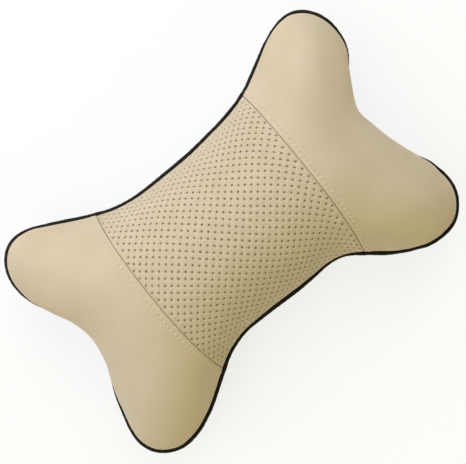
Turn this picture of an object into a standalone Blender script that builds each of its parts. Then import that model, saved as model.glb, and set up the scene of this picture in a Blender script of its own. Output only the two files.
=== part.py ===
"""A bone-shaped car neck pillow, lying on its back with its face up.

x runs to the right end of the face, y to its upper edge and z up out of it. The origin is on the
surface that the pillow lies on, under the middle of its outline.

Leather end panels and a perforated centre panel are sewn side by side into the front cover. A piped
seam all round joins the front cover to a fabric back, loose filling is stuffed inside, and an elastic
strap that goes round the headrest lies flat under the back, sewn in at the two end notches.

The edge of the cover runs round ten circles: four lobes, two bends in each waist and two end notches.
The cover bulges as a membrane does, and its height comes from the square root of the membrane's.
"""

import math

import bmesh
import bpy
import numpy as np
from mathutils import Vector
from mathutils.bvhtree import BVHTree

# Lobes, in plan: where their circles are centred, and their radii. The lower right one is pulled in.
LOBE_SPREAD = 0.0614
LOBE_REACH = 0.108
LOWER_RIGHT_PULL = 0.006
UPPER_RIGHT_LOBE_R = 0.0236
UPPER_LEFT_LOBE_R = 0.0227
LOWER_LEFT_LOBE_R = 0.0238
LOWER_RIGHT_LOBE_R = 0.0247

# Waists, in plan: the edge's distance from the long axis, the bends at either side of each, and how
# far the bends are centred inside the lobes
BEND_INSET = 0.080
UPPER_LEFT_WAIST = 0.0552
UPPER_RIGHT_WAIST = 0.0575
UPPER_BEND_R = 0.086
LOWER_WAIST = 0.0521
LOWER_LEFT_BEND_R = 0.0538
LOWER_RIGHT_BEND_R = 0.0451

# End notches, in plan: how deep they are from the tip of the upper lobe, how high, and how round
LEFT_NOTCH_DEPTH = 0.0207
LEFT_NOTCH_RISE = 0.0036
LEFT_NOTCH_R = 0.031
RIGHT_NOTCH_DEPTH = 0.0256
RIGHT_NOTCH_RISE = 0.0079
RIGHT_NOTCH_R = 0.016

# Heights: the face's crown above the piped seam, the back's own crown, and how far up the seam is
SEAM_HEIGHT = 0.038
FACE_CROWN = 0.048
BACK_CROWN = 0.046

# Sewn pieces. The centre panel sits a little left of the middle.
CENTRE_PANEL_LENGTH = 0.124
CENTRE_PANEL_SHIFT = -0.0018
LEFT_SEAM_X = CENTRE_PANEL_SHIFT - CENTRE_PANEL_LENGTH / 2
RIGHT_SEAM_X = CENTRE_PANEL_SHIFT + CENTRE_PANEL_LENGTH / 2
LEATHER = 0.0012
PERFORATED_LAMINATE = 0.002
BACK_FABRIC = 0.001
PIPING_RADIUS = 0.0015
SEAM_DIP = 0.0006
STITCH_OFFSET = 0.0035
THREAD_RADIUS = 0.00035

# Holes punched through the leather of the centre panel, down to the foam behind it
PUNCH_PITCH = 0.0042
PUNCH_TURN = math.radians(-42)
PUNCH_RADIUS = 0.0007
PUNCH_DEPTH = 0.0009
PUNCH_MARGIN = 0.0048

# Headrest strap
STRAP_WIDTH = 0.025
STRAP_THICKNESS = 0.0015
STRAP_REST_LIFT = 0.0001  # a row of the strap lower than this lies on the surface under the pillow
STRAP_END_INSET = 0.001

# Filling: how far it stays inside the cover, sideways and under the face
FILLING_SIDE_INSET = 0.006
FILLING_FACE_INSET = 0.003

# Gap between pieces that touch
GAP = 0.0003

# Divisions of the sewn surfaces: across an end panel, across the centre panel and between the edges
END_STEPS = 7
CENTRE_STEPS = 8
CROSS_STEPS = 16
FINER = 4
STRAP_LONG_STEPS = 18
STRAP_CROSS_STEPS = 3
BEND_WEIGHT = 0.028

# Colours of the leather, the piping, the back and the strap, as red, green and blue light
BEIGE = (0.604, 0.497, 0.337)
PALE_BEIGE = (0.66, 0.56, 0.41)
BLACK = (0.012, 0.011, 0.010)
OFF_WHITE = (0.75, 0.75, 0.72)


def clear_scene():
    """Removes every object, so that only the pillow is left."""
    for obj in list(bpy.data.objects):
        bpy.data.objects.remove(obj, do_unlink=True)


def material(name, colour, roughness):
    """A plain shader in one colour."""
    made = bpy.data.materials.new(name)
    made.use_nodes = True
    shader = made.node_tree.nodes["Principled BSDF"]
    shader.inputs["Base Color"].default_value = (*colour, 1.0)
    shader.inputs["Roughness"].default_value = roughness
    shader.inputs["Metallic"].default_value = 0.0
    return made


def bends():
    """(centre, radius, side) of each bend, anticlockwise from the upper right lobe: side is 1 round a
    lobe, which bends outwards, and -1 round a hollow."""
    bend_x = LOBE_REACH - BEND_INSET
    left_notch_x = LOBE_REACH + UPPER_LEFT_LOBE_R - LEFT_NOTCH_DEPTH + LEFT_NOTCH_R
    right_notch_x = LOBE_REACH + UPPER_RIGHT_LOBE_R - RIGHT_NOTCH_DEPTH + RIGHT_NOTCH_R
    return [
        ((LOBE_REACH, LOBE_SPREAD), UPPER_RIGHT_LOBE_R, 1),
        ((bend_x, UPPER_RIGHT_WAIST + UPPER_BEND_R), UPPER_BEND_R, -1),
        ((-bend_x, UPPER_LEFT_WAIST + UPPER_BEND_R), UPPER_BEND_R, -1),
        ((-LOBE_REACH, LOBE_SPREAD), UPPER_LEFT_LOBE_R, 1),
        ((-left_notch_x, LEFT_NOTCH_RISE), LEFT_NOTCH_R, -1),
        ((-LOBE_REACH, -LOBE_SPREAD), LOWER_LEFT_LOBE_R, 1),
        ((-bend_x, -LOWER_WAIST - LOWER_LEFT_BEND_R), LOWER_LEFT_BEND_R, -1),
        ((bend_x, -LOWER_WAIST - LOWER_RIGHT_BEND_R), LOWER_RIGHT_BEND_R, -1),
        ((LOBE_REACH - LOWER_RIGHT_PULL, -LOBE_SPREAD), LOWER_RIGHT_LOBE_R, 1),
        ((right_notch_x, RIGHT_NOTCH_RISE), RIGHT_NOTCH_R, -1),
    ]


def run_direction(bend, following):
    """Heading, in radians, of the straight run from one bend to the next, tangent to both circles."""
    (x0, y0), radius0, side0 = bend
    (x1, y1), radius1, side1 = following
    span = math.hypot(x1 - x0, y1 - y0)
    lean = math.asin((radius1 * side1 - radius0 * side0) / span)
    return math.atan2(y1 - y0, x1 - x0) - lean


def edge_outline():
    """The cover's edge in plan as a closed, finely divided line, anticlockwise, with a station value at
    each point: the length so far, with more for the turns, so that even stations crowd at the bends."""
    arc_step = math.radians(1)
    run_step = 0.0005
    circles = bends()
    points = []
    for index, bend in enumerate(circles):
        centre, radius, side = bend
        following = circles[(index + 1) % len(circles)]
        heading_in = run_direction(circles[index - 1], bend)
        heading_out = run_direction(bend, following)
        turn = side * ((side * (heading_out - heading_in)) % math.tau)
        if abs(turn) > math.radians(355):
            turn = 0.0
        arc_count = max(2, round(abs(turn) / arc_step))
        for heading in np.linspace(heading_in, heading_in + turn, arc_count):
            outward = np.array([math.sin(heading), -math.cos(heading)])
            points.append(np.array(centre) + outward * radius * side)
        outward = np.array([math.sin(heading_out), -math.cos(heading_out)])
        run_end = np.array(following[0]) + outward * following[1] * following[2]
        run_start = points[-1]
        run_count = max(2, round(np.linalg.norm(run_end - run_start) / run_step))
        for share in np.linspace(0, 1, run_count)[1:-1]:
            points.append(run_start + (run_end - run_start) * share)
    points = np.array(points + [points[0]])
    legs = np.diff(points, axis=0)
    headings = np.unwrap(np.arctan2(legs[:, 1], legs[:, 0]))
    turns = np.abs(np.diff(headings, prepend=headings[0]))
    stations = np.concatenate([[0], np.cumsum(np.hypot(*legs.T) + BEND_WEIGHT * turns)])
    return points, stations


class Edge:
    """The cover's edge, read at stations along it."""

    def __init__(self):
        self.points, self.stations = edge_outline()

    def at(self, station):
        """The points at these stations, which may run on past the line's end."""
        wrapped = np.mod(station, self.stations[-1])
        return np.stack([np.interp(wrapped, self.stations, self.points[:, k]) for k in (0, 1)], -1)

    def nearest(self, place):
        """The station nearest to a place in plan."""
        return self.stations[np.argmin(np.linalg.norm(self.points - np.array(place), axis=1))]

    def run(self, places, counts, direction):
        """Points along the edge by way of the stations nearest to these places, with so many even steps
        from each to the next. The direction is 1 for anticlockwise and -1 for clockwise."""
        stops = [self.nearest(place) for place in places]
        for k in range(1, len(stops)):
            if (stops[k] - stops[k - 1]) * direction < 0:
                stops[k] += direction * self.stations[-1]
        legs = [
            np.linspace(start, stop, count + 1)[1:]
            for start, stop, count in zip(stops, stops[1:], counts)
        ]
        return self.at(np.concatenate([stops[:1], *legs]))

    def waist(self, xs, side):
        """Height y of the upper (side 1) or lower (side -1) waist at each x."""
        held = (np.abs(self.points[:, 0]) < LOBE_REACH) & (self.points[:, 1] * side > 0)
        waist = self.points[held]
        waist = waist[np.argsort(waist[:, 0])]
        return np.interp(xs, waist[:, 0], waist[:, 1])


def end_patch(edge, side, across, seam):
    """Plan of an end panel as a grid of points, from the panel seam to the end, and from the lower edge
    to the upper one. Its four sides are blended, with the lobes at its outer corners."""
    low_reach = LOBE_REACH - LOWER_RIGHT_PULL if side > 0 else LOBE_REACH
    low_radius = LOWER_RIGHT_LOBE_R if side > 0 else LOWER_LEFT_LOBE_R
    top_radius = UPPER_RIGHT_LOBE_R if side > 0 else UPPER_LEFT_LOBE_R
    low_slant, top_slant = low_radius * math.sqrt(0.5), top_radius * math.sqrt(0.5)
    low_tip = (side * (low_reach + low_slant), -LOBE_SPREAD - low_slant)
    top_tip = (side * (LOBE_REACH + top_slant), LOBE_SPREAD + top_slant)
    seam_x = RIGHT_SEAM_X if side > 0 else LEFT_SEAM_X
    stitch_x = seam_x + side * STITCH_OFFSET
    steps = (FINER, (END_STEPS - 1) * FINER)
    low_stitch, top_stitch = ((stitch_x, edge.waist(stitch_x, k)) for k in (-1, 1))
    lower = edge.run((seam[0], low_stitch, low_tip), steps, side)
    upper = edge.run((seam[-1], top_stitch, top_tip), steps, -side)
    end = edge.run((low_tip, top_tip), (len(seam) - 1,), side)
    lower[0], upper[0] = seam[0], seam[-1]
    advance = side * ((lower + upper)[:, 0] / 2 - seam_x)
    u = (advance / advance[-1])[:, None, None]
    v = across[None, :, None]
    sides = (1 - v) * lower[:, None] + v * upper[:, None] + (1 - u) * seam[None] + u * end[None]
    corners = (1 - u) * ((1 - v) * seam[0] + v * seam[-1]) + u * ((1 - v) * end[0] + v * end[-1])
    patch = sides - corners
    beside_seam = np.linspace(0, STITCH_OFFSET, FINER + 1)
    patch[: FINER + 1, 1:-1, 0] = seam_x + side * beside_seam[:, None]
    return patch


def cover_plan(edge):
    """Plan of the whole cover as one grid of points: left end panel, centre panel, right end panel."""
    across = (1 - np.cos(np.linspace(0, math.pi, CROSS_STEPS * FINER + 1))) / 2
    xs = np.linspace(LEFT_SEAM_X, RIGHT_SEAM_X, CENTRE_STEPS * FINER + 1)
    low, top = edge.waist(xs, -1), edge.waist(xs, 1)
    ys = low[:, None] + (top - low)[:, None] * across[None]
    centre = np.stack([np.broadcast_to(xs[:, None], ys.shape), ys], -1)
    left = end_patch(edge, -1, across, centre[0])[::-1]
    right = end_patch(edge, 1, across, centre[-1])
    return np.concatenate([left[:-1], centre, right[1:]])


def membrane(plan):
    """Height, from 0 to 1, of a membrane that air lifts off the plan, held down at the edge.

    Each cell is cut into two triangles; a conjugate-gradient loop balances the membrane's pull along
    their sides against the lift on their areas."""
    count_u, count_v = plan.shape[:2]
    flat = plan.reshape(-1, 2)
    index = np.arange(count_u * count_v).reshape(count_u, count_v)
    a, b, c, d = index[:-1, :-1], index[1:, :-1], index[1:, 1:], index[:-1, 1:]
    corners = np.concatenate([np.stack(t, -1).reshape(-1, 3) for t in ((a, b, c), (a, c, d))])
    starts, ends, pulls = [], [], []
    lift = np.zeros(len(flat))
    for k in range(3):
        i, j, tip = corners[:, k], corners[:, (k + 1) % 3], corners[:, (k + 2) % 3]
        to_i, to_j = flat[i] - flat[tip], flat[j] - flat[tip]
        area = np.maximum(np.abs(to_i[:, 0] * to_j[:, 1] - to_i[:, 1] * to_j[:, 0]), 1e-12)
        starts.append(i)
        ends.append(j)
        pulls.append((to_i * to_j).sum(1) / area / 2)
        lift += np.bincount(tip, area / 6, len(flat))
    starts, ends, pulls = (np.concatenate(x) for x in (starts, ends, pulls))
    free = np.zeros((count_u, count_v), bool)
    free[1:-1, 1:-1] = True
    free = free.ravel()

    def pull_of(height):
        flow = pulls * (height[starts] - height[ends])
        total = np.bincount(starts, flow, len(height)) - np.bincount(ends, flow, len(height))
        return np.where(free, total, 0)

    height = np.zeros(len(flat))
    rest = np.where(free, lift, 0)
    step = rest.copy()
    left = rest @ rest
    target = left * 1e-12
    for _ in range(4000):
        pulled = pull_of(step)
        share = left / (step @ pulled)
        height += share * step
        rest -= share * pulled
        now = rest @ rest
        if now < target:
            break
        step = rest + step * now / left
        left = now
    height = height.reshape(count_u, count_v)
    return np.clip(height / height.max(), 0, 1)


def outward_normals(points, plan):
    """Unit normals of a grid surface. Along the edge they are level, square to the edge in plan."""
    normals = np.cross(np.gradient(points, axis=0), np.gradient(points, axis=1))
    if normals[len(points) // 2, points.shape[1] // 2, 2] * (points[..., 2].mean() - SEAM_HEIGHT) < 0:
        normals = -normals
    for rim, along, turn in (
        ((0, slice(None)), 0, -1),
        ((-1, slice(None)), 0, 1),
        ((slice(None), 0), 0, 1),
        ((slice(None), -1), 0, -1),
    ):
        tangent = np.gradient(plan[rim], axis=along)
        normals[rim] = np.stack([tangent[:, 1], -tangent[:, 0], 0 * tangent[:, 0]], -1) * turn
    for u, v in ((0, 0), (0, -1), (-1, 0), (-1, -1)):
        beside = plan[u, v] - plan[1 if u == 0 else -2, 1 if v == 0 else -2]
        normals[u, v] = (*beside, 0)
    return normals / np.linalg.norm(normals, axis=-1, keepdims=True)


class Cover:
    """The pillow's two sewn surfaces as fine grids of points with their normals."""

    def __init__(self):
        self.plan = cover_plan(Edge())
        rim = np.concatenate([self.plan[0], self.plan[-1], self.plan[:, 0], self.plan[:, -1]])
        self.middle = -(rim.min(0) + rim.max(0)) / 2
        self.plan += self.middle
        rise = np.sqrt(membrane(self.plan))
        rest_limit = SEAM_HEIGHT - GAP / 2 - STRAP_THICKNESS - GAP
        face_z = SEAM_HEIGHT + GAP / 2 + FACE_CROWN * rise
        back_z = SEAM_HEIGHT - GAP / 2 - np.minimum(BACK_CROWN * rise, rest_limit)
        self.face = np.concatenate([self.plan, face_z[..., None]], -1)
        self.back = np.concatenate([self.plan, back_z[..., None]], -1)
        self.face_out = outward_normals(self.face, self.plan)
        self.back_out = outward_normals(self.back, self.plan)
        self.seam_left = END_STEPS * FINER
        self.seam_right = (END_STEPS + CENTRE_STEPS) * FINER
        for column in (self.seam_left, self.seam_right):
            self.face[column, 1:-1, 2] -= SEAM_DIP

    def columns(self, first, last):
        """Index of the coarse grid's points between two columns of the fine one."""
        return np.ix_(range(first, last + 1, FINER), range(0, CROSS_STEPS * FINER + 1, FINER))

    def cord_line(self, distance):
        """Points this far outside the straight runs between the coarse grid's outermost points."""
        last_u, last_v = self.plan.shape[0] - 1, self.plan.shape[1] - 1
        us, vs = np.array(border(last_u // FINER + 1, last_v // FINER + 1)).T * FINER
        rim = self.plan[us, vs]
        legs = np.roll(rim, -1, axis=0) - rim
        after = np.stack([legs[:, 1], -legs[:, 0]], -1) / np.linalg.norm(legs, axis=1)[:, None]
        before = np.roll(after, 1, axis=0)
        reach = distance / (1 + (before * after).sum(1))
        return rim + (before + after) * reach[:, None]


def add_grid(bm, points):
    """A grid of faces through a grid of points. Returns the vertices by their place in the grid."""
    count_u, count_v = points.shape[:2]
    grid = bmesh.ops.create_grid(bm, x_segments=count_u - 1, y_segments=count_v - 1, size=0.5)
    placed = {}
    for vert in grid["verts"]:
        u = round((vert.co.x + 0.5) * (count_u - 1))
        v = round((vert.co.y + 0.5) * (count_v - 1))
        vert.co = points[u, v]
        placed[u, v] = vert
    return placed


def border(count_u, count_v):
    """Places of a grid's outermost points, in order round it."""
    last_u, last_v = count_u - 1, count_v - 1
    places = [(u, 0) for u in range(last_u)] + [(last_u, v) for v in range(last_v)]
    return places + [(u, last_v) for u in range(last_u, 0, -1)] + [(0, v) for v in range(last_v, 0, -1)]


def add_wall(bm, first, second):
    """Faces between two closed rings of vertices."""
    for k in range(len(first)):
        bm.faces.new((first[k - 1], first[k], second[k], second[k - 1]))


def finish(bm, name, finish_material):
    """Makes the closed mesh an object of that name, with its faces pointing out."""
    bmesh.ops.recalc_face_normals(bm, faces=bm.faces)
    bmesh.ops.triangulate(bm, faces=bm.faces)
    mesh = bpy.data.meshes.new(name)
    bm.to_mesh(mesh)
    bm.free()
    mesh.shade_smooth()
    mesh.set_sharp_from_angle(angle=math.radians(40))
    mesh.materials.append(finish_material)
    obj = bpy.data.objects.new(name, mesh)
    bpy.context.scene.collection.objects.link(obj)
    return obj


def shell(name, outer, inner, finish_material):
    """A closed wall between two grids of points."""
    bm = bmesh.new()
    rings = []
    for points in (outer, inner):
        placed = add_grid(bm, points)
        rings.append([placed[place] for place in border(*points.shape[:2])])
    add_wall(bm, *rings)
    return finish(bm, name, finish_material)


def end_panel(cover, name, first, last, finish_material):
    """A leather end panel, with its edge along the panel seam half a gap short of the seam."""
    at = cover.columns(first, last)
    outer = cover.face[at].copy()
    inner = outer - cover.face_out[at] * LEATHER
    seam_column, shift = (-1, -GAP / 2) if first == 0 else (0, GAP / 2)
    outer[seam_column, :, 0] += shift
    inner[seam_column, :, 0] = outer[seam_column, :, 0]
    return shell(name, outer, inner, finish_material)


def arc_lengths(cover):
    """Distance over the face from its middle line to each point, along each column."""
    legs = np.linalg.norm(np.diff(cover.face, axis=1), axis=-1)
    lengths = np.concatenate([np.zeros((len(legs), 1)), np.cumsum(legs, axis=1)], 1)
    return lengths - lengths[:, lengths.shape[1] // 2][:, None]


def on_face(cover, lengths, x, length, depth):
    """The point at x and this distance over the face from its middle line, sunk by depth."""
    span = (x - cover.face[cover.seam_left, 0, 0]) / CENTRE_PANEL_LENGTH
    column = cover.seam_left + np.clip(span, 0, 1) * CENTRE_STEPS * FINER
    first = min(int(column), cover.seam_right - 1)
    rows = np.arange(cover.plan.shape[1])
    found = []
    for u in (first, first + 1):
        row = np.interp(length, lengths[u], rows)
        sunk = cover.face[u] - cover.face_out[u] * depth
        found.append(np.array([np.interp(row, rows, sunk[:, k]) for k in range(3)]))
    return found[0] + (found[1] - found[0]) * (column - first)


def punch_lattice(bm, cover, lengths):
    """Turned square lattice laid flat over the centre panel, with a hole's outline at each crossing
    that is clear of the panel's edges. Returns the holes' faces."""
    half_diagonal = math.hypot(CENTRE_PANEL_LENGTH / 2, np.abs(lengths).max())
    cells = 2 * math.ceil(half_diagonal / PUNCH_PITCH)
    size = cells * PUNCH_PITCH / 2
    bmesh.ops.create_grid(bm, x_segments=cells, y_segments=cells, size=size)
    turn = np.array(
        [[math.cos(PUNCH_TURN), -math.sin(PUNCH_TURN)], [math.sin(PUNCH_TURN), math.cos(PUNCH_TURN)]]
    )
    low_x, high_x = cover.face[[cover.seam_left, cover.seam_right], 0, 0]
    centre_xs = cover.face[cover.seam_left : cover.seam_right + 1, 0, 0]
    low = lengths[cover.seam_left : cover.seam_right + 1, 0]
    top = lengths[cover.seam_left : cover.seam_right + 1, -1]
    outside = []
    for vert in bm.verts:
        x, y = turn @ np.array(vert.co.xy)
        x += (low_x + high_x) / 2
        vert.co = (x, y, 0)
        beside = min(x - low_x, high_x - x)
        over = min(y - np.interp(x, centre_xs, low), np.interp(x, centre_xs, top) - y)
        if beside < PUNCH_MARGIN - PUNCH_PITCH / 2 or over < PUNCH_MARGIN:
            outside.append(vert)
    while outside:
        bmesh.ops.delete(bm, geom=outside, context="VERTS")
        rims = [(vert, sum(edge.is_boundary for edge in vert.link_edges)) for vert in bm.verts]
        outside = [vert for vert, rim in rims if rim > 2 or not vert.link_faces]
    inner = [vert for vert in bm.verts if len(vert.link_faces) == 4]
    made = bmesh.ops.bevel(
        bm,
        geom=inner,
        offset=PUNCH_RADIUS,
        offset_type="OFFSET",
        segments=1,
        profile=0.5,
        affect="VERTICES",
        material=-1,
    )
    return [face for face in made["faces"] if len(face.verts) == 4]


def centre_panel(cover, finish_material):
    """The perforated panel: leather over foam, with a blind hole at each lattice crossing."""
    lengths = arc_lengths(cover)
    bm = bmesh.new()
    holes = punch_lattice(bm, cover, lengths)
    poked = bmesh.ops.poke(bm, faces=holes)
    pit_centres = set(poked["verts"])
    lattice_edges = [edge for edge in bm.edges if edge.is_boundary]
    at = cover.columns(cover.seam_left, cover.seam_right)
    loop = border(CENTRE_STEPS + 1, CROSS_STEPS + 1)
    flat = np.stack([cover.face[at][..., 0], lengths[at]], -1)
    outline = [bm.verts.new((*flat[u, v], 0)) for u, v in loop]
    outline_edges = [
        bm.edges.new((vert, outline[(k + 1) % len(outline)])) for k, vert in enumerate(outline)
    ]
    bmesh.ops.triangle_fill(bm, use_beauty=True, edges=lattice_edges + outline_edges)
    held = dict(zip(outline, loop))
    outer = cover.face[at].copy()
    outer[0, :, 0] += GAP / 2
    outer[-1, :, 0] -= GAP / 2
    for vert in bm.verts:
        if vert in held:
            vert.co = outer[held[vert]]
        else:
            depth = PUNCH_DEPTH if vert in pit_centres else 0.0
            vert.co = on_face(cover, lengths, vert.co.x, vert.co.y, depth)
    inner = cover.face[at] - cover.face_out[at] * PERFORATED_LAMINATE
    inner[0, :, 0] = outer[0, :, 0]
    inner[-1, :, 0] = outer[-1, :, 0]
    placed = add_grid(bm, inner)
    add_wall(bm, outline, [placed[place] for place in loop])
    return finish(bm, "front_centre_panel", finish_material)


def back_panel(cover, finish_material):
    """The fabric back, one piece from end to end."""
    at = cover.columns(0, cover.plan.shape[0] - 1)
    outer = cover.back[at]
    return shell("back_panel", outer, outer - cover.back_out[at] * BACK_FABRIC, finish_material)


def filling(cover, finish_material):
    """The stuffing, a plainer body inside the cover that lies on the back panel."""
    coarse = np.ix_(
        range(0, cover.plan.shape[0], 2 * FINER),
        range(0, cover.plan.shape[1], 2 * FINER),
    )
    side = FILLING_SIDE_INSET
    face_inset = np.array([side, side, FILLING_FACE_INSET])
    back_inset = np.array([side, side, BACK_FABRIC + GAP])
    face = cover.face[coarse] - cover.face_out[coarse] * face_inset
    back = cover.back[coarse] - cover.back_out[coarse] * back_inset
    return shell("filling", face, back, finish_material)


def sewn_line(name, path, radius, sides, closed, finish_material):
    """A round cord or thread along a line of points, closed into a ring or with flat ends."""
    curve = bpy.data.curves.new(name, "CURVE")
    curve.dimensions = "3D"
    curve.bevel_depth = radius
    curve.bevel_resolution = sides // 2 - 2
    curve.use_fill_caps = not closed
    spline = curve.splines.new("POLY")
    spline.points.add(len(path) - 1)
    for point, place in zip(spline.points, path):
        point.co = (*place, 1)
    spline.use_cyclic_u = closed
    spline.use_smooth = True
    curve.materials.append(finish_material)
    obj = bpy.data.objects.new(name, curve)
    bpy.context.scene.collection.objects.link(obj)
    return obj


def piping(cover, finish_material):
    """The cord in the seam all round, just outside the cover's edge."""
    path = cover.cord_line(PIPING_RADIUS + GAP)
    path = np.concatenate([path, np.full((len(path), 1), SEAM_HEIGHT)], 1)
    return sewn_line("piping_cord", path, PIPING_RADIUS, 6, True, finish_material)


def topstitch(cover, name, column, finish_material):
    """The thread that holds the folded seam down, along the end panel's first column."""
    rows = slice(FINER, -FINER, FINER)
    lift = THREAD_RADIUS + GAP
    path = cover.face[column, rows] + cover.face_out[column, rows] * lift
    return sewn_line(name, path, THREAD_RADIUS, 4, False, finish_material)


def under(back, points):
    """How high the back's underside is over each point of a grid in plan."""
    tree = BVHTree.FromPolygons(
        [vert.co for vert in back.data.vertices],
        [tuple(face.vertices) for face in back.data.polygons],
    )
    heights = np.full(points.shape[:2], SEAM_HEIGHT)
    for place in np.ndindex(heights.shape):
        hit = tree.ray_cast(Vector((*points[place], -SEAM_HEIGHT)), Vector((0, 0, 1)))[0]
        if hit:
            heights[place] = hit.z
    return heights


def strap(cover, back, finish_material):
    """The elastic headrest strap, under the back from one end notch to the other. It bends along its
    length only, so each row across it is as high as the back leaves room for as far as the next rows,
    and the rows that come close to the surface that the pillow lies on are on it."""
    rise = cover.middle[1] + (LEFT_NOTCH_RISE + RIGHT_NOTCH_RISE) / 2
    ys = rise + np.linspace(-STRAP_WIDTH / 2, STRAP_WIDTH / 2, STRAP_CROSS_STEPS * FINER + 1)
    left_end, right_end = cover.plan[0], cover.plan[-1]
    first = np.interp(ys, left_end[:, 1], left_end[:, 0]) + STRAP_END_INSET
    last = np.interp(ys, right_end[:, 1], right_end[:, 0]) - STRAP_END_INSET
    along = (1 - np.cos(np.linspace(0, math.pi, STRAP_LONG_STEPS * FINER + 1))) / 2
    xs = first + (last - first) * along[:, None]
    points = np.stack([xs, np.broadcast_to(ys, xs.shape)], -1)
    room = under(back, points).min(axis=1) - GAP
    top = []
    for u in range(0, len(room), FINER):
        height = room[max(0, u - FINER) : u + FINER + 1].min()
        if height < STRAP_THICKNESS + STRAP_REST_LIFT:
            height = STRAP_THICKNESS
        top.extend((*point, height) for point in points[u, ::FINER])
    top = np.array(top).reshape(STRAP_LONG_STEPS + 1, STRAP_CROSS_STEPS + 1, 3)
    return shell("headrest_strap", top, top - (0, 0, STRAP_THICKNESS), finish_material)


def main():
    clear_scene()
    leather = material("beige_leather", BEIGE, 0.55)
    perforated = material("perforated_beige_leather", BEIGE, 0.6)
    piping_leather = material("black_piping", BLACK, 0.45)
    back_fabric = material("black_fabric", BLACK, 0.9)
    elastic = material("black_elastic", BLACK, 0.8)
    thread = material("beige_thread", PALE_BEIGE, 0.7)
    fibre = material("white_fibre", OFF_WHITE, 0.95)

    cover = Cover()
    last = cover.plan.shape[0] - 1
    end_panel(cover, "front_end_panel_left", 0, cover.seam_left, leather)
    end_panel(cover, "front_end_panel_right", cover.seam_right, last, leather)
    centre_panel(cover, perforated)
    back = back_panel(cover, back_fabric)
    filling(cover, fibre)
    piping(cover, piping_leather)
    topstitch(cover, "topstitch_left", cover.seam_left - FINER, thread)
    topstitch(cover, "topstitch_right", cover.seam_right + FINER, thread)
    strap(cover, back, elastic)


main()
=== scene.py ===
"""The dressed car neck pillow: leather face, piping, fabric back, strap and stuffing.

Lengths are in metres. The pillow lies on its back, with x along it and z up out of its face.
"""

import logging
import math
from dataclasses import dataclass, field
from enum import Enum

import bmesh
import bpy
import numpy as np
from mathutils import Matrix, Vector

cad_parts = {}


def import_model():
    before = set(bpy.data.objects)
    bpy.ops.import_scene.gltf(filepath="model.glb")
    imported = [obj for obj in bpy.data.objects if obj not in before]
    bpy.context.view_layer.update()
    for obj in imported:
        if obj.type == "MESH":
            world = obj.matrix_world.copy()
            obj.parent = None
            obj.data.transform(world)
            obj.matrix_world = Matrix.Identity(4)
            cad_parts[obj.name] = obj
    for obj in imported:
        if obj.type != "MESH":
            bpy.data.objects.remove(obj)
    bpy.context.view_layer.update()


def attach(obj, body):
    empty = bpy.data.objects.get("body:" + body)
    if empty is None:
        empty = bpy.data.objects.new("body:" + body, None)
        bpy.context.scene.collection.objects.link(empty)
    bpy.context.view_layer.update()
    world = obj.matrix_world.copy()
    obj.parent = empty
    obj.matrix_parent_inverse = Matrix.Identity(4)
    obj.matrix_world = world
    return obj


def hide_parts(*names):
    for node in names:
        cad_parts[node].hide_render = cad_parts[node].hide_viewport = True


LOG = logging.getLogger("neck_pillow")
BODY = "root"
MILLIMETRE = 0.001


class Turn(Enum):
    """Which way the cover's edge bends round a circle."""

    LOBE = 1
    HOLLOW = -1


class Side(Enum):
    """An end of the pillow, with the sign of its x."""

    LEFT = -1
    RIGHT = 1


class Sheet(Enum):
    """One of the cover's two sheets, with the sign of z that it faces."""

    FACE = 1
    BACK = -1


class Pattern(Enum):
    """Irregular patterns, each with the number that it is drawn from."""

    SWAY = 3
    STITCHES = 5
    LUMPS = 11
    END_GATHERS = 23
    CENTRE_GATHERS = 29
    WRINKLES = 31
    BACK_GATHERS = 37
    TUFTS = 41


@dataclass(frozen=True)
class Bend:
    """A circle that the cover's edge runs round, in plan."""

    x: float
    y: float
    radius: float
    turn: Turn

    def point(self, heading: float) -> np.ndarray:
        """The edge's point on this circle where it runs in the given direction, in radians."""
        outward = np.array([math.sin(heading), -math.cos(heading)])
        return np.array([self.x, self.y]) + outward * self.radius * self.turn.value

    def heading_to(self, following: "Bend") -> float:
        """Direction of the straight run that is tangent to this circle and to the following one.

        Args:
            following: The next circle.

        Returns:
            The direction in radians.
        """
        span = math.hypot(following.x - self.x, following.y - self.y)
        widening = following.radius * following.turn.value - self.radius * self.turn.value
        return math.atan2(following.y - self.y, following.x - self.x) - math.asin(widening / span)


@dataclass(frozen=True)
class Swell:
    """A stretch where a line lies further out than it otherwise would, in millimetres."""

    x: float
    y: float
    amount: float
    width: float

    def at(self, places: np.ndarray) -> np.ndarray:
        """How far it moves each place outwards, in metres."""
        away = np.linalg.norm(places - np.array([self.x, self.y]) * MILLIMETRE, axis=-1)
        return bump(away, 0, self.width * MILLIMETRE) * self.amount * MILLIMETRE


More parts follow.
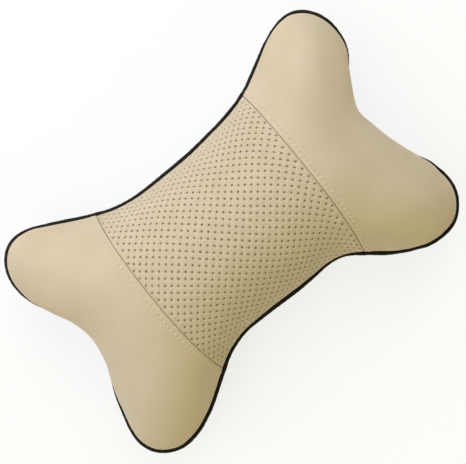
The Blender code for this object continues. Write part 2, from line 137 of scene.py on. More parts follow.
@dataclass
class EdgeLine:
    """The cover's edge in plan: a closed line round ten circles, anticlockwise.

    The swells are where the sewing and the stuffing have pushed it out or left it in. Where it is
    more upright, it lies further out and the cover's sides lean out over it by that much less.
    """

    lobe_reach: float = 0.108
    lobe_spread: float = 0.0614
    lower_right_pull: float = 0.006
    lobe_radii: tuple[float, ...] = (0.0236, 0.0227, 0.0238, 0.0247)
    bend_reach: float = 0.028
    waists: tuple[float, ...] = (0.0575, 0.0552, 0.0521, 0.0521)
    bend_radii: tuple[float, ...] = (0.086, 0.086, 0.0538, 0.0451)
    notch_reach: tuple[float, float] = (0.110, 0.106)
    notch_rise: tuple[float, float] = (0.0036, 0.0079)
    notch_radii: tuple[float, float] = (0.031, 0.016)
    bend_weight: float = 0.028
    point_turn: float = math.radians(1)
    point_spacing: float = 0.0005
    swells: tuple[Swell, ...] = (
        Swell(108, 17, -0.8, 15),
        Swell(126, 46, 1.9, 9),
        Swell(131, 61, -0.4, 8),
        Swell(116, 84, 1.3, 11),
        Swell(92, 80, 0.7, 8),
        Swell(66, 67, -0.4, 15),
        Swell(8, 57, -1.7, 20),
        Swell(-16, 56, -0.5, 15),
        Swell(-65, 64, 0.4, 10),
        Swell(-117, 83, 1.5, 13),
        Swell(-130, 61, -0.4, 8),
        Swell(-126, 46, 1.0, 8),
        Swell(-116, 23, -1.2, 8),
        Swell(-111, 13, -0.8, 20),
        Swell(-115, -14, -1.0, 8),
        Swell(-122, -34, 0.9, 12),
        Swell(-131, -58, -0.6, 8),
        Swell(-126, -75, 0.5, 8),
        Swell(-104, -84, -0.8, 8),
        Swell(-85, -76, 0.9, 11),
        Swell(-58, -60, -1.1, 12),
        Swell(-33, -52, -0.9, 20),
        Swell(-9, -52, -0.8, 15),
        Swell(46, -56, -1.0, 18),
        Swell(79, -75, 1.5, 11),
        Swell(68, -70, 0.6, 7),
        Swell(102, -86, -1.3, 11),
        Swell(121, -78, -0.5, 8),
        Swell(123, -46, 1.5, 8),
        Swell(114, -18, -2.4, 15),
    )
    upright: tuple[Swell, ...] = (
        Swell(127, 48, -0.3, 8),
        Swell(122, 81, 0.4, 8),
        Swell(100, 84, -1.4, 17),
        Swell(44, 59, 0.6, 14),
        Swell(8, 57, 0.8, 28),
        Swell(-28, 56, 0.3, 28),
        Swell(-102, 84, -1.2, 14),
        Swell(-131, 63, -0.3, 20),
        Swell(-131, -55, -0.3, 10),
        Swell(-61, -62, 0.5, 28),
        Swell(-3, -52, 1.2, 28),
        Swell(44, -55, -0.4, 10),
        Swell(65, -67, 0.5, 10),
        Swell(85, -79, -0.4, 10),
        Swell(123, -44, -0.3, 8),
    )
    points: np.ndarray = field(init=False)
    stations: np.ndarray = field(init=False)
    centring: np.ndarray = field(init=False)

    def __post_init__(self) -> None:
        """Lays the line out and gives each point a station, which crowds at the bends."""
        circles = self.bends()
        points: list[np.ndarray] = []
        for index, bend in enumerate(circles):
            following = circles[(index + 1) % len(circles)]
            heading_in = circles[index - 1].heading_to(bend)
            heading_out = bend.heading_to(following)
            side = bend.turn.value
            turn = side * ((side * (heading_out - heading_in)) % math.tau)
            arc = max(2, round(abs(turn) / self.point_turn))
            points += [bend.point(h) for h in np.linspace(heading_in, heading_in + turn, arc)]
            start, stop = points[-1], following.point(heading_out)
            run = max(2, round(np.linalg.norm(stop - start) / self.point_spacing))
            points += [start + (stop - start) * t for t in np.linspace(0, 1, run)[1:-1]]
        line = np.array(points)
        self.centring = -(line.min(0) + line.max(0)) / 2
        out = sum(swell.at(line) for swell in (*self.swells, *self.upright))
        moved = line + outward(line) * out[:, None]
        self.points = np.concatenate([moved, moved[:1]])
        legs = np.diff(self.points, axis=0)
        headings = np.unwrap(np.arctan2(legs[:, 1], legs[:, 0]))
        turns = np.abs(np.diff(headings, prepend=headings[0]))
        lengths = np.hypot(*legs.T) + self.bend_weight * turns
        self.stations = running_total(lengths)

    def bends(self) -> list[Bend]:
        """The ten circles, anticlockwise from the upper right lobe.

        Returns:
            The circles.
        """
        reach, spread, bend = self.lobe_reach, self.lobe_spread, self.bend_reach
        top_right, top_left, low_left, low_right = self.lobe_radii
        turns = [
            (reach, spread, top_right),
            (bend, self.waists[0] + self.bend_radii[0], self.bend_radii[0]),
            (-bend, self.waists[1] + self.bend_radii[1], self.bend_radii[1]),
            (-reach, spread, top_left),
            (-self.notch_reach[0] - self.notch_radii[0], self.notch_rise[0], self.notch_radii[0]),
            (-reach, -spread, low_left),
            (-bend, -self.waists[2] - self.bend_radii[2], self.bend_radii[2]),
            (bend, -self.waists[3] - self.bend_radii[3], self.bend_radii[3]),
            (reach - self.lower_right_pull, -spread, low_right),
            (self.notch_reach[1] + self.notch_radii[1], self.notch_rise[1], self.notch_radii[1]),
        ]
        lobes = (0, 3, 5, 8)
        return [Bend(*t, Turn.LOBE if k in lobes else Turn.HOLLOW) for k, t in enumerate(turns)]

    def at(self, station: np.ndarray) -> np.ndarray:
        """The points at these stations, which may run on past the line's end."""
        wrapped = np.mod(station, self.stations[-1])
        return np.stack([np.interp(wrapped, self.stations, self.points[:, k]) for k in (0, 1)], -1)

    def run(self, first: tuple, last: tuple, shares: np.ndarray, direction: int) -> np.ndarray:
        """Points along the edge from near one place to near another.

        Args:
            first: Place in plan that the run starts nearest to.
            last: Place in plan that it ends nearest to.
            shares: Shares of the way at which the points lie.
            direction: 1 for anticlockwise and -1 for clockwise.

        Returns:
            The points, one row for each share.
        """
        ends = [
            self.stations[np.argmin(np.linalg.norm(self.points - np.array(place), axis=1))]
            for place in (first, last)
        ]
        if (ends[1] - ends[0]) * direction < 0:
            ends[1] += direction * self.stations[-1]
        return self.at(ends[0] + (ends[1] - ends[0]) * shares)

    def waist(self, xs: np.ndarray, side: int) -> np.ndarray:
        """Height y of the upper (side 1) or lower (side -1) waist at each x.

        Args:
            xs: Places along the pillow.
            side: 1 for the upper waist and -1 for the lower.

        Returns:
            One height for each x.
        """
        held = (np.abs(self.points[:, 0]) < self.lobe_reach) & (self.points[:, 1] * side > 0)
        waist = self.points[held]
        waist = waist[np.argsort(waist[:, 0])]
        return np.interp(xs, waist[:, 0], waist[:, 1])


def outward(line: np.ndarray) -> np.ndarray:
    """Unit vectors that point out of a closed anticlockwise line, one for each of its points.

    Args:
        line: The line's points.

    Returns:
        The vectors.
    """
    along = np.roll(line, -1, axis=0) - np.roll(line, 1, axis=0)
    along /= np.linalg.norm(along, axis=1, keepdims=True)
    return np.stack([along[:, 1], -along[:, 0]], -1)


def smooth_step(low: float, high: float, value: np.ndarray) -> np.ndarray:
    """Rises smoothly from 0 at low to 1 at high."""
    t = np.clip((value - low) / (high - low), 0, 1)
    return t * t * (3 - 2 * t)


def bump(value: np.ndarray, middle: float, width: float) -> np.ndarray:
    """A bell that is 1 at the middle and has fallen to a third one width away."""
    return np.exp(-(((value - middle) / width) ** 2))


def running_total(legs: np.ndarray) -> np.ndarray:
    """Distance along a line to each of its points, from the lengths of its legs."""
    before = [(0, 0)] * (legs.ndim - 1) + [(1, 0)]
    return np.pad(np.cumsum(legs, axis=-1), before)


def ripple(places: np.ndarray, wavelength: float, pattern: Pattern) -> np.ndarray:
    """Soft irregular waves between about -1 and 1.

    Args:
        places: Points, with their coordinates in the last axis.
        wavelength: Usual distance from crest to crest.
        pattern: Which pattern of waves.

    Returns:
        One value for each point.
    """
    rng = np.random.default_rng(pattern.value)
    total = np.zeros(places.shape[:-1])
    waves = 9
    for _ in range(waves):
        direction = rng.normal(size=places.shape[-1])
        direction /= np.linalg.norm(direction)
        stretch = rng.uniform(0.75, 1.4)
        phase = rng.uniform(0, math.tau)
        total += np.sin(places @ direction * (math.tau / (wavelength * stretch)) + phase)
    return total / math.sqrt(waves)


@dataclass(frozen=True)
class Gathers:
    """Small folds where a panel is drawn to the piping."""

    height: float
    length: float
    reach: float
    pattern: Pattern
    start: float = 0.002

    def at(self, places: np.ndarray, from_seam: np.ndarray) -> np.ndarray:
        """How far the folds lift each place, by its height above or below the piped seam."""
        fade = np.exp(-from_seam / self.reach) * smooth_step(0.0, self.start, from_seam)
        return ripple(places, self.length, self.pattern) * fade * self.height


class Surface:
    """A smooth surface through a grid of points, read at fractional places in the grid."""

    def __init__(self, points: np.ndarray, facing: Sheet) -> None:
        """Keeps the points with a border that is mirrored under the seam plane.

        Args:
            points: The grid, column by column.
            facing: Which sheet of the cover it is.
        """
        self.facing = facing
        self.count_u, self.count_v = points.shape[:2]
        padded = np.pad(points, ((1, 1), (1, 1), (0, 0)), mode="reflect")
        seam = points[0, 0, 2]
        for edge in (np.s_[0, :], np.s_[-1, :], np.s_[:, 0], np.s_[:, -1]):
            padded[edge][:, 2] = 2 * seam - padded[edge][:, 2]
        for corner in ((0, 0), (0, -1), (-1, 0), (-1, -1)):
            padded[corner][2] = 2 * seam - padded[corner][2]
        self.padded = padded

    @staticmethod
    def weights(t: np.ndarray) -> tuple[np.ndarray, np.ndarray]:
        """The shares of four neighbouring points, and how fast each share changes.

        Args:
            t: How far each place is from one point to the next, from 0 to 1.

        Returns:
            The shares and their slopes, the four neighbours first.
        """
        t2, t3 = t * t, t * t * t
        share = [-t3 + 2 * t2 - t, 3 * t3 - 5 * t2 + 2, -3 * t3 + 4 * t2 + t, t3 - t2]
        slope = [-3 * t2 + 4 * t - 1, 9 * t2 - 10 * t, -9 * t2 + 8 * t + 1, 3 * t2 - 2 * t]
        return np.stack(share) / 2, np.stack(slope) / 2

    def at(self, u: np.ndarray, v: np.ndarray) -> tuple[np.ndarray, np.ndarray]:
        """Places and outward normals.

        Args:
            u: Columns, from 0 to the last one, whole or not.
            v: Rows, in the same way.

        Returns:
            The points and the unit normals, one for each pair of u and v.
        """
        u, v = np.broadcast_arrays(np.asarray(u, float), np.asarray(v, float))
        i = np.clip(np.floor(u).astype(int), 0, self.count_u - 2)
        j = np.clip(np.floor(v).astype(int), 0, self.count_v - 2)
        share_u, slope_u = self.weights(u - i)
        share_v, slope_v = self.weights(v - j)
        place = np.zeros((*u.shape, 3))
        along_u, along_v = place.copy(), place.copy()
        for a in range(4):
            for b in range(4):
                corner = self.padded[i + a, j + b]
                place += corner * (share_u[a] * share_v[b])[..., None]
                along_u += corner * (slope_u[a] * share_v[b])[..., None]
                along_v += corner * (share_u[a] * slope_v[b])[..., None]
        normal = np.cross(along_u, along_v) * self.facing.value
        length = np.linalg.norm(normal, axis=-1, keepdims=True)
        return place, normal / np.maximum(length, 1e-12)


@dataclass
class StuffingPressure:
    """How the stuffing swells the cover, found with a cloth simulation of the closed cover."""

    voxel: float = 0.0055
    pressure: float = 4.0
    frames: int = 20
    most: float = 0.0035
    pinned_band: float = 0.007
    quality: int = 6
    cloth_mass: float = 0.25
    stiffness: float = 18.0
    bending_stiffness: float = 2.0

    def swell(self, skin: bpy.types.Object, seam_height: float) -> tuple[np.ndarray, np.ndarray]:
        """Simulates the cover under pressure, with its piped seam held still.

        Args:
            skin: The closed cover, which is used up.
            seam_height: Height of the piped seam.

        Returns:
            The simulated points at rest, and how far each has moved.
        """
        remesh = skin.modifiers.new("even_mesh", "REMESH")
        remesh.mode = "VOXEL"
        remesh.voxel_size = self.voxel
        even = bpy.data.meshes.new_from_object(skin.evaluated_get(self.graph()))
        skin.modifiers.clear()
        skin.data = even
        rest = vertex_array(even)
        pins = skin.vertex_groups.new(name="piped_seam")
        for index in np.nonzero(np.abs(rest[:, 2] - seam_height) < self.pinned_band)[0]:
            pins.add([int(index)], 1.0, "REPLACE")
        cloth = skin.modifiers.new("stuffing", "CLOTH")
        cloth.settings.quality = self.quality
        cloth.settings.mass = self.cloth_mass
        cloth.settings.tension_stiffness = self.stiffness
        cloth.settings.compression_stiffness = self.stiffness
        cloth.settings.bending_stiffness = self.bending_stiffness
        cloth.settings.use_pressure = True
        cloth.settings.uniform_pressure_force = self.pressure
        cloth.settings.vertex_group_mass = pins.name
        cloth.settings.effector_weights.gravity = 0
        scene = bpy.context.scene
        for frame_number in range(1, self.frames + 1):
            scene.frame_set(frame_number)
        settled = bpy.data.meshes.new_from_object(skin.evaluated_get(self.graph()))
        moved = vertex_array(settled) - rest
        length = np.linalg.norm(moved, axis=1, keepdims=True)
        moved *= np.minimum(1, self.most / np.maximum(length, 1e-9))
        scene.frame_set(1)
        bpy.data.objects.remove(skin, do_unlink=True)
        return rest, moved

    @staticmethod
    def graph() -> bpy.types.Depsgraph:
        """The scene's up-to-date dependency graph."""
        return bpy.context.evaluated_depsgraph_get()


def vertex_array(mesh: bpy.types.Mesh) -> np.ndarray:
    """A mesh's points as an array.

    Args:
        mesh: The mesh.

    Returns:
        One row for each point.
    """
    flat = np.empty(len(mesh.vertices) * 3)
    mesh.vertices.foreach_get("co", flat)
    return flat.reshape(-1, 3)


@dataclass(frozen=True)
class SeamLine:
    """A panel seam in plan: x at evenly spaced heights, from its lower end to its upper."""

    marks: tuple[float, ...]
    reach: float = 0.06

    def at(self, y: np.ndarray) -> np.ndarray:
        """The seam's x at each y, on the smooth curve through the marks."""
        heights = np.linspace(-1, 1, len(self.marks))
        return np.polyval(np.polyfit(heights, self.marks, len(self.marks) - 1), y / self.reach)


@dataclass
class Cover:
    """The sewn cover as two smooth surfaces that meet in the piped seam.

    Its sides lean out over the seam, most of all in the end notches. The leaning there begins
    between two distances from the pillow's middle, and ends between two distances above and below
    the notch, of which the lower left ones are less.
    """

    edge: EdgeLine = field(default_factory=EdgeLine)
    grid_seams: tuple[float, float] = (-0.0638, 0.0602)
    seams: tuple[SeamLine, SeamLine] = (
        SeamLine((-0.0614, -0.0643, -0.0650, -0.0645, -0.0624)),
        SeamLine((0.0563, 0.0582, 0.0588, 0.0588, 0.0588)),
    )
    seam_height: float = 0.038
    seam_gap: float = 0.0003
    face_crown: float = 0.048
    back_crown: float = 0.046
    strap_room: float = 0.0018
    rest_softness: float = 0.0012
    overhang: float = 0.0019
    overhang_height: float = 0.18
    notch_overhang: float = 0.0065
    notch_height: float = 0.33
    notch_begins: tuple[float, float] = (0.078, 0.098)
    notch_ends: tuple[float, float] = (0.024, 0.062)
    lower_left_ends: tuple[float, float] = (0.005, 0.055)
    notch_share_of_back: float = 0.4
    lump: float = 0.0004
    lump_length: float = 0.055
    lump_rise: float = 0.6
    swollen_rise: tuple[float, float] = (0.05, 0.55)
    swelling_smoothed: int = 12
    end_columns: int = 30
    centre_columns: int = 36
    rows: int = 52
    pressure: StuffingPressure = field(default_factory=StuffingPressure)
    face: Surface = field(init=False)
    back: Surface = field(init=False)

    def __post_init__(self) -> None:
        """Lays out the plan, lifts it into both surfaces and lets the stuffing settle."""
        self.middle = self.edge.centring
        self.plan = self.lay_out() + self.middle
        self.seam_columns = (self.end_columns, self.end_columns + self.centre_columns)
        rise = np.sqrt(self.membrane())
        face_z = self.seam_height + self.seam_gap / 2 + self.face_crown * rise
        back_seam = self.seam_height - self.seam_gap / 2
        back_z = back_seam - self.flattened(self.back_crown * rise, back_seam - self.strap_room)
        sheets = {}
        for sheet, heights in ((Sheet.FACE, face_z), (Sheet.BACK, back_z)):
            points = np.concatenate([self.plan, heights[..., None]], -1)
            points[..., :2] += self.side_bulge(rise, sheet)
            sheets[sheet] = points
        self.settle(sheets, rise)
        soft = np.minimum(1, rise / self.lump_rise)[..., None]
        lumps = ripple(sheets[Sheet.FACE], self.lump_length, Pattern.LUMPS)[..., None] * self.lump
        self.face = Surface(sheets[Sheet.FACE], Sheet.FACE)
        columns, rows = np.indices(rise.shape)
        _, normals = self.face.at(columns, rows)
        self.face = Surface(sheets[Sheet.FACE] + normals * lumps * soft, Sheet.FACE)
        self.back = Surface(sheets[Sheet.BACK], Sheet.BACK)

    def flattened(self, depth: np.ndarray, limit: float) -> np.ndarray:
        """Depth of the back, eased into the flat where it lies on the strap."""
        over = (depth - limit) / self.rest_softness
        return depth - self.rest_softness * np.logaddexp(0, over)

    def end_patch(self, side: Side, across: np.ndarray, seam: np.ndarray) -> np.ndarray:
        """Plan of an end panel, from the panel seam to the end and from lower edge to upper.

        Args:
            side: Which end.
            across: Shares of the way up, one for each row.
            seam: The seam's points, one for each row.

        Returns:
            A grid of points, column by column.
        """
        sign = side.value
        top_right, top_left, low_left, low_right = self.edge.lobe_radii
        low_radius, top_radius = (low_right, top_right) if sign > 0 else (low_left, top_left)
        low_reach = self.edge.lobe_reach - (self.edge.lower_right_pull if sign > 0 else 0)
        low_slant, top_slant = low_radius * math.sqrt(0.5), top_radius * math.sqrt(0.5)
        low_tip = (sign * (low_reach + low_slant), -self.edge.lobe_spread - low_slant)
        top_tip = (sign * (self.edge.lobe_reach + top_slant), self.edge.lobe_spread + top_slant)
        outwards = np.sin(np.linspace(0, math.pi / 2, self.end_columns + 1))
        lower = self.edge.run(seam[0], low_tip, outwards, sign)
        upper = self.edge.run(seam[-1], top_tip, outwards, -sign)
        end = self.edge.run(low_tip, top_tip, np.linspace(0, 1, len(seam)), sign)
        lower[0], upper[0] = seam[0], seam[-1]
        advance = sign * ((lower + upper)[:, 0] / 2 - self.grid_seams[0 if sign < 0 else 1])
        u = (advance / advance[-1])[:, None, None]
        v = across[None, :, None]
        sides = (1 - v) * lower[:, None] + v * upper[:, None] + (1 - u) * seam[None] + u * end[None]
        low, top = (1 - u) * seam[0] + u * end[0], (1 - u) * seam[-1] + u * end[-1]
        return sides - (1 - v) * low - v * top

    def lay_out(self) -> np.ndarray:
        """Plan of the whole cover: left end panel, centre panel, right end panel.

        Returns:
            A grid of points, column by column.
        """
        across = (1 - np.cos(np.linspace(0, math.pi, self.rows + 1))) / 2
        xs = np.linspace(*self.grid_seams, self.centre_columns + 1)
        low, top = self.edge.waist(xs, -1), self.edge.waist(xs, 1)
        ys = low[:, None] + (top - low)[:, None] * across[None]
        centre = np.stack([np.broadcast_to(xs[:, None], ys.shape), ys], -1)
        left = self.end_patch(Side.LEFT, across, centre[0])[::-1]
        right = self.end_patch(Side.RIGHT, across, centre[-1])
        return np.concatenate([left[:-1], centre, right[1:]])

    def membrane(self, rounds: int = 3000, tolerance: float = 1e-12) -> np.ndarray:
        """Height, from 0 to 1, of a membrane that air lifts off the plan, held down at the edge.

        Args:
            rounds: Most rounds in which the heights are brought closer.
            tolerance: Share of the first error at which they are close enough.

        Returns:
            One height for each point of the plan.
        """
        count_u, count_v = self.plan.shape[:2]
        flat = self.plan.reshape(-1, 2)
        index = np.arange(count_u * count_v).reshape(count_u, count_v)
        a, b, c, d = index[:-1, :-1], index[1:, :-1], index[1:, 1:], index[:-1, 1:]
        corners = np.concatenate([np.stack(t, -1).reshape(-1, 3) for t in ((a, b, c), (a, c, d))])
        starts, ends, pulls = [], [], []
        lift = np.zeros(len(flat))
        for k in range(3):
            i, j, tip = corners[:, k], corners[:, (k + 1) % 3], corners[:, (k + 2) % 3]
            to_i, to_j = flat[i] - flat[tip], flat[j] - flat[tip]
            area = np.maximum(np.abs(to_i[:, 0] * to_j[:, 1] - to_i[:, 1] * to_j[:, 0]), 1e-12)
            starts.append(i)
            ends.append(j)
            pulls.append((to_i * to_j).sum(1) / area / 2)
            lift += np.bincount(tip, area / 6, len(flat))
        starts, ends, pulls = (np.concatenate(x) for x in (starts, ends, pulls))
        free = np.zeros((count_u, count_v), bool)
        free[1:-1, 1:-1] = True
        free = free.ravel()
        scale = np.bincount(starts, pulls, len(flat)) + np.bincount(ends, pulls, len(flat))
        scale = np.where(free, np.maximum(scale, 1e-9), 1)
        height = np.zeros(len(flat))
        rest = np.where(free, lift, 0)
        step = rest / scale
        left = rest @ step
        target = left * tolerance
        for _ in range(rounds):
            flow = pulls * (step[starts] - step[ends])
            pulled = np.bincount(starts, flow, len(flat)) - np.bincount(ends, flow, len(flat))
            pulled = np.where(free, pulled, 0)
            share = left / (step @ pulled)
            height += share * step
            rest -= share * pulled
            eased = rest / scale
            now = rest @ eased
            if now < target:
                break
            step = eased + step * now / left
            left = now
        height = height.reshape(count_u, count_v)
        return np.clip(height / height.max(), 0, 1)

    def side_bulge(self, rise: np.ndarray, sheet: Sheet) -> np.ndarray:
        """How far the sides lean out over the piped seam, most of all in the end notches.

        Args:
            rise: How far each point is from the edge to the crown, from 0 to 1.
            sheet: Which sheet leans out.

        Returns:
            The move in plan of each point.
        """
        lift = rise**2
        slope_u, slope_v = np.gradient(lift)
        along_u, along_v = np.gradient(self.plan, axis=0), np.gradient(self.plan, axis=1)
        area = along_u[..., 0] * along_v[..., 1] - along_u[..., 1] * along_v[..., 0]
        area = np.where(np.abs(area) < 1e-12, 1e-12, area)
        down_x = -(slope_u * along_v[..., 1] - slope_v * along_u[..., 1]) / area
        down_y = -(slope_v * along_u[..., 0] - slope_u * along_v[..., 0]) / area
        downhill = np.stack([down_x, down_y], -1)
        downhill /= np.maximum(np.linalg.norm(downhill, axis=-1, keepdims=True), 1e-9)
        reach = np.abs(self.plan[..., 0])
        notch_y = np.mean(self.edge.notch_rise)
        off_middle = np.abs(self.plan[..., 1] - notch_y)
        lower_left = (self.plan[..., 0] < 0) & (self.plan[..., 1] < notch_y)
        ends = zip(self.lower_left_ends, self.notch_ends)
        start, end = (np.where(lower_left, less, usual) for less, usual in ends)
        notch = smooth_step(*self.notch_begins, reach) * (1 - smooth_step(start, end, off_middle))
        if sheet is Sheet.BACK:
            notch = notch * self.notch_share_of_back
        peak = self.overhang_height + (self.notch_height - self.overhang_height) * notch
        risen = (rise / peak) ** 2
        height = risen * np.exp(1 - risen)
        amount = self.overhang + (self.notch_overhang - self.overhang) * notch
        amount -= sum(swell.at(self.plan - self.middle) for swell in self.edge.upright)
        return downhill * (height * amount)[..., None]

    def settle(self, sheets: dict[Sheet, np.ndarray], rise: np.ndarray) -> None:
        """Adds the swelling of the cloth simulation to both sheets, and none at the seam.

        Args:
            sheets: Both sheets' points, which are moved.
            rise: How far each point is from the edge to the crown, from 0 to 1.
        """
        bm = bmesh.new()
        for sheet, points in sheets.items():
            add_grid(bm, points, flip=sheet is Sheet.BACK)
        bmesh.ops.remove_doubles(bm, verts=bm.verts, dist=self.seam_gap * 1.5)
        skin = new_object("cover_skin", bm)
        rest, moved = self.pressure.swell(skin, self.seam_height)
        most = np.abs(moved).max() / MILLIMETRE
        LOG.info("cover swollen at %d points, by up to %.1f mm", len(rest), most)
        fade = smooth_step(*self.swollen_rise, rise)[..., None]
        for sheet, points in sheets.items():
            shift = spread(points, rest, moved)
            for _ in range(self.swelling_smoothed):
                inner = shift[1:-1, 1:-1]
                around = shift[2:, 1:-1] + shift[:-2, 1:-1] + shift[1:-1, 2:] + shift[1:-1, :-2]
                shift[1:-1, 1:-1] = inner / 2 + around / 8
            if sheet is Sheet.BACK:
                shift[..., 2] = np.maximum(shift[..., 2], 0)
            points += shift * fade

    def beside(self, side: Side, place: np.ndarray) -> np.ndarray:
        """How far points lie outside a panel seam, along x."""
        line = self.seams[0 if side is Side.LEFT else 1]
        return side.value * (place[..., 0] - self.middle[0] - line.at(place[..., 1]))

    def column_at(self, d: np.ndarray, side: Side, rows: np.ndarray) -> np.ndarray:
        """Columns at which the face lies at a distance d outside a panel seam, in each row.

        Args:
            d: The distances.
            side: Which seam.
            rows: The rows.

        Returns:
            One column for each distance and row.
        """
        near = self.seam_columns[0 if side is Side.LEFT else 1]
        span = 14
        picked = np.arange(max(0, near - span), near + span + 1)
        place, _ = self.face.at(picked[:, None], rows[None, :])
        outside = self.beside(side, place) * side.value
        found = [np.interp(side.value * d, outside[:, k], picked) for k in range(len(rows))]
        return np.stack(found, 1)

    def centre_column(self, shares: np.ndarray, rows: np.ndarray) -> np.ndarray:
        """Columns that lie these shares of the way from the left seam to the right, in each row.

        Args:
            shares: The shares of the way.
            rows: The rows.

        Returns:
            One column for each share and row.
        """
        first, last = self.seam_columns
        span = 6
        picked = np.arange(first - span, last + span + 1)
        place, _ = self.face.at(picked[:, None], rows[None, :])
        left, right = -self.beside(Side.LEFT, place), -self.beside(Side.RIGHT, place)
        share = left / (left + right)
        return np.stack([np.interp(shares, share[:, k], picked) for k in range(len(rows))], 1)


def spread(
    points: np.ndarray, rest: np.ndarray, moved: np.ndarray, reach: float = 0.007, batch: int = 400
) -> np.ndarray:
    """How far each point moves with the nearest few of the simulated ones.

    Args:
        points: A grid of points.
        rest: The simulated points at rest.
        moved: How far each of them has moved.
        reach: Distance at which a simulated point has fallen to a third of its pull.
        batch: How many points are worked out at a time.

    Returns:
        The grid's moves.
    """
    flat = points.reshape(-1, 3)
    result = np.empty_like(flat)
    for start in range(0, len(flat), batch):
        part = flat[start : start + batch]
        square = ((part[:, None] - rest[None]) ** 2).sum(-1)
        share = np.exp(-square / reach**2) + 1e-12
        result[start : start + batch] = share @ moved / share.sum(1, keepdims=True)
    return result.reshape(points.shape)


def add_grid(bm: bmesh.types.BMesh, points: np.ndarray, flip: bool = False) -> dict:
    """Adds a grid of faces through a grid of points, with a UV map in metres along both ways.

    Args:
        bm: The mesh that gets the faces.
        points: The points, column by column.
        flip: Whether the faces turn the other way.

    Returns:
        The vertices by their place in the grid.
    """
    count_u, count_v = points.shape[:2]
    uv = bm.loops.layers.uv.verify()
    made = bmesh.ops.create_grid(bm, x_segments=count_u - 1, y_segments=count_v - 1, size=0.5)
    placed, spots = {}, {}
    for vert in made["verts"]:
        u = round((vert.co.x + 0.5) * (count_u - 1))
        v = round((vert.co.y + 0.5) * (count_v - 1))
        placed[u, v] = vert
        spots[vert] = (u, v)
    legs_u = np.linalg.norm(np.diff(points, axis=0), axis=-1).mean(1)
    legs_v = np.linalg.norm(np.diff(points, axis=1), axis=-1).mean(0)
    along_u, along_v = running_total(legs_u), running_total(legs_v)
    faces = {face for vert in made["verts"] for face in vert.link_faces}
    for face in faces:
        for loop in face.loops:
            u, v = spots[loop.vert]
            loop[uv].uv = (along_u[u], along_v[v])
    for (u, v), vert in placed.items():
        vert.co = points[u, v]
    if flip:
        bmesh.ops.reverse_faces(bm, faces=list(faces))
    return placed


def border(count_u: int, count_v: int) -> list[tuple[int, int]]:
    """Places of a grid's outermost points, in order round it.

    Args:
        count_u: Number of columns.
        count_v: Number of rows.

    Returns:
        Column and row of each point.
    """
    last_u, last_v = count_u - 1, count_v - 1
    there = [(u, 0) for u in range(last_u)] + [(last_u, v) for v in range(last_v)]
    return there + [(last_u - u, last_v - v) for u, v in there]


def add_wall(bm: bmesh.types.BMesh, first: list, second: list) -> None:
    """Adds faces between two closed rings of vertices."""
    for k in range(len(first)):
        bm.faces.new((first[k - 1], first[k], second[k], second[k - 1]))


def place_object(name: str, data: bpy.types.ID) -> bpy.types.Object:
    """Puts a mesh, curve, lamp or camera into the scene as an object.

    Args:
        name: The object's name.
        data: What it shows.

    Returns:
        The object.
    """
    made = bpy.data.objects.new(name, data)
    bpy.context.scene.collection.objects.link(made)
    return made


def new_object(name: str, bm: bmesh.types.BMesh) -> bpy.types.Object:
    """Turns a bmesh into an object in the scene, and frees the bmesh.

    Args:
        name: The object's name.
        bm: The mesh, which is used up.

    Returns:
        The object.
    """
    mesh = bpy.data.meshes.new(name)
    bm.to_mesh(mesh)
    bm.free()
    mesh.shade_smooth()
    return place_object(name, mesh)


def closed_shell(
    name: str, first: np.ndarray, second: np.ndarray, flip_first: bool = True
) -> bpy.types.Object:
    """Makes a closed piece from two grids of points that are joined all round by a wall.

    Args:
        name: The piece's name.
        first: One grid of points.
        second: A grid of the same size, behind the first.
        flip_first: Whether the first grid's faces turn the other way, rather than the second's.

    Returns:
        The piece.
    """
    bm = bmesh.new()
    rings = []
    for points, flip in ((first, flip_first), (second, not flip_first)):
        placed = add_grid(bm, points, flip)
        rings.append([placed[spot] for spot in border(*points.shape[:2])])
    add_wall(bm, *rings)
    bmesh.ops.recalc_face_normals(bm, faces=bm.faces)
    return new_object(name, bm)


def dress(
    piece: bpy.types.Object, node: str, materials: list[bpy.types.Material]
) -> bpy.types.Object:
    """Gives a piece its finish, joins it to the body and hides the CAD node that it stands for.

    Args:
        piece: The finished piece.
        node: The CAD node that it replaces.
        materials: Its materials, in the order of its faces' material numbers.

    Returns:
        The same piece.
    """
    piece.data.materials.clear()
    for material in materials:
        piece.data.materials.append(material)
    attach(piece, BODY)
    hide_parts(node)
    LOG.info("%s: %d faces", piece.name, len(piece.data.polygons))
    return piece


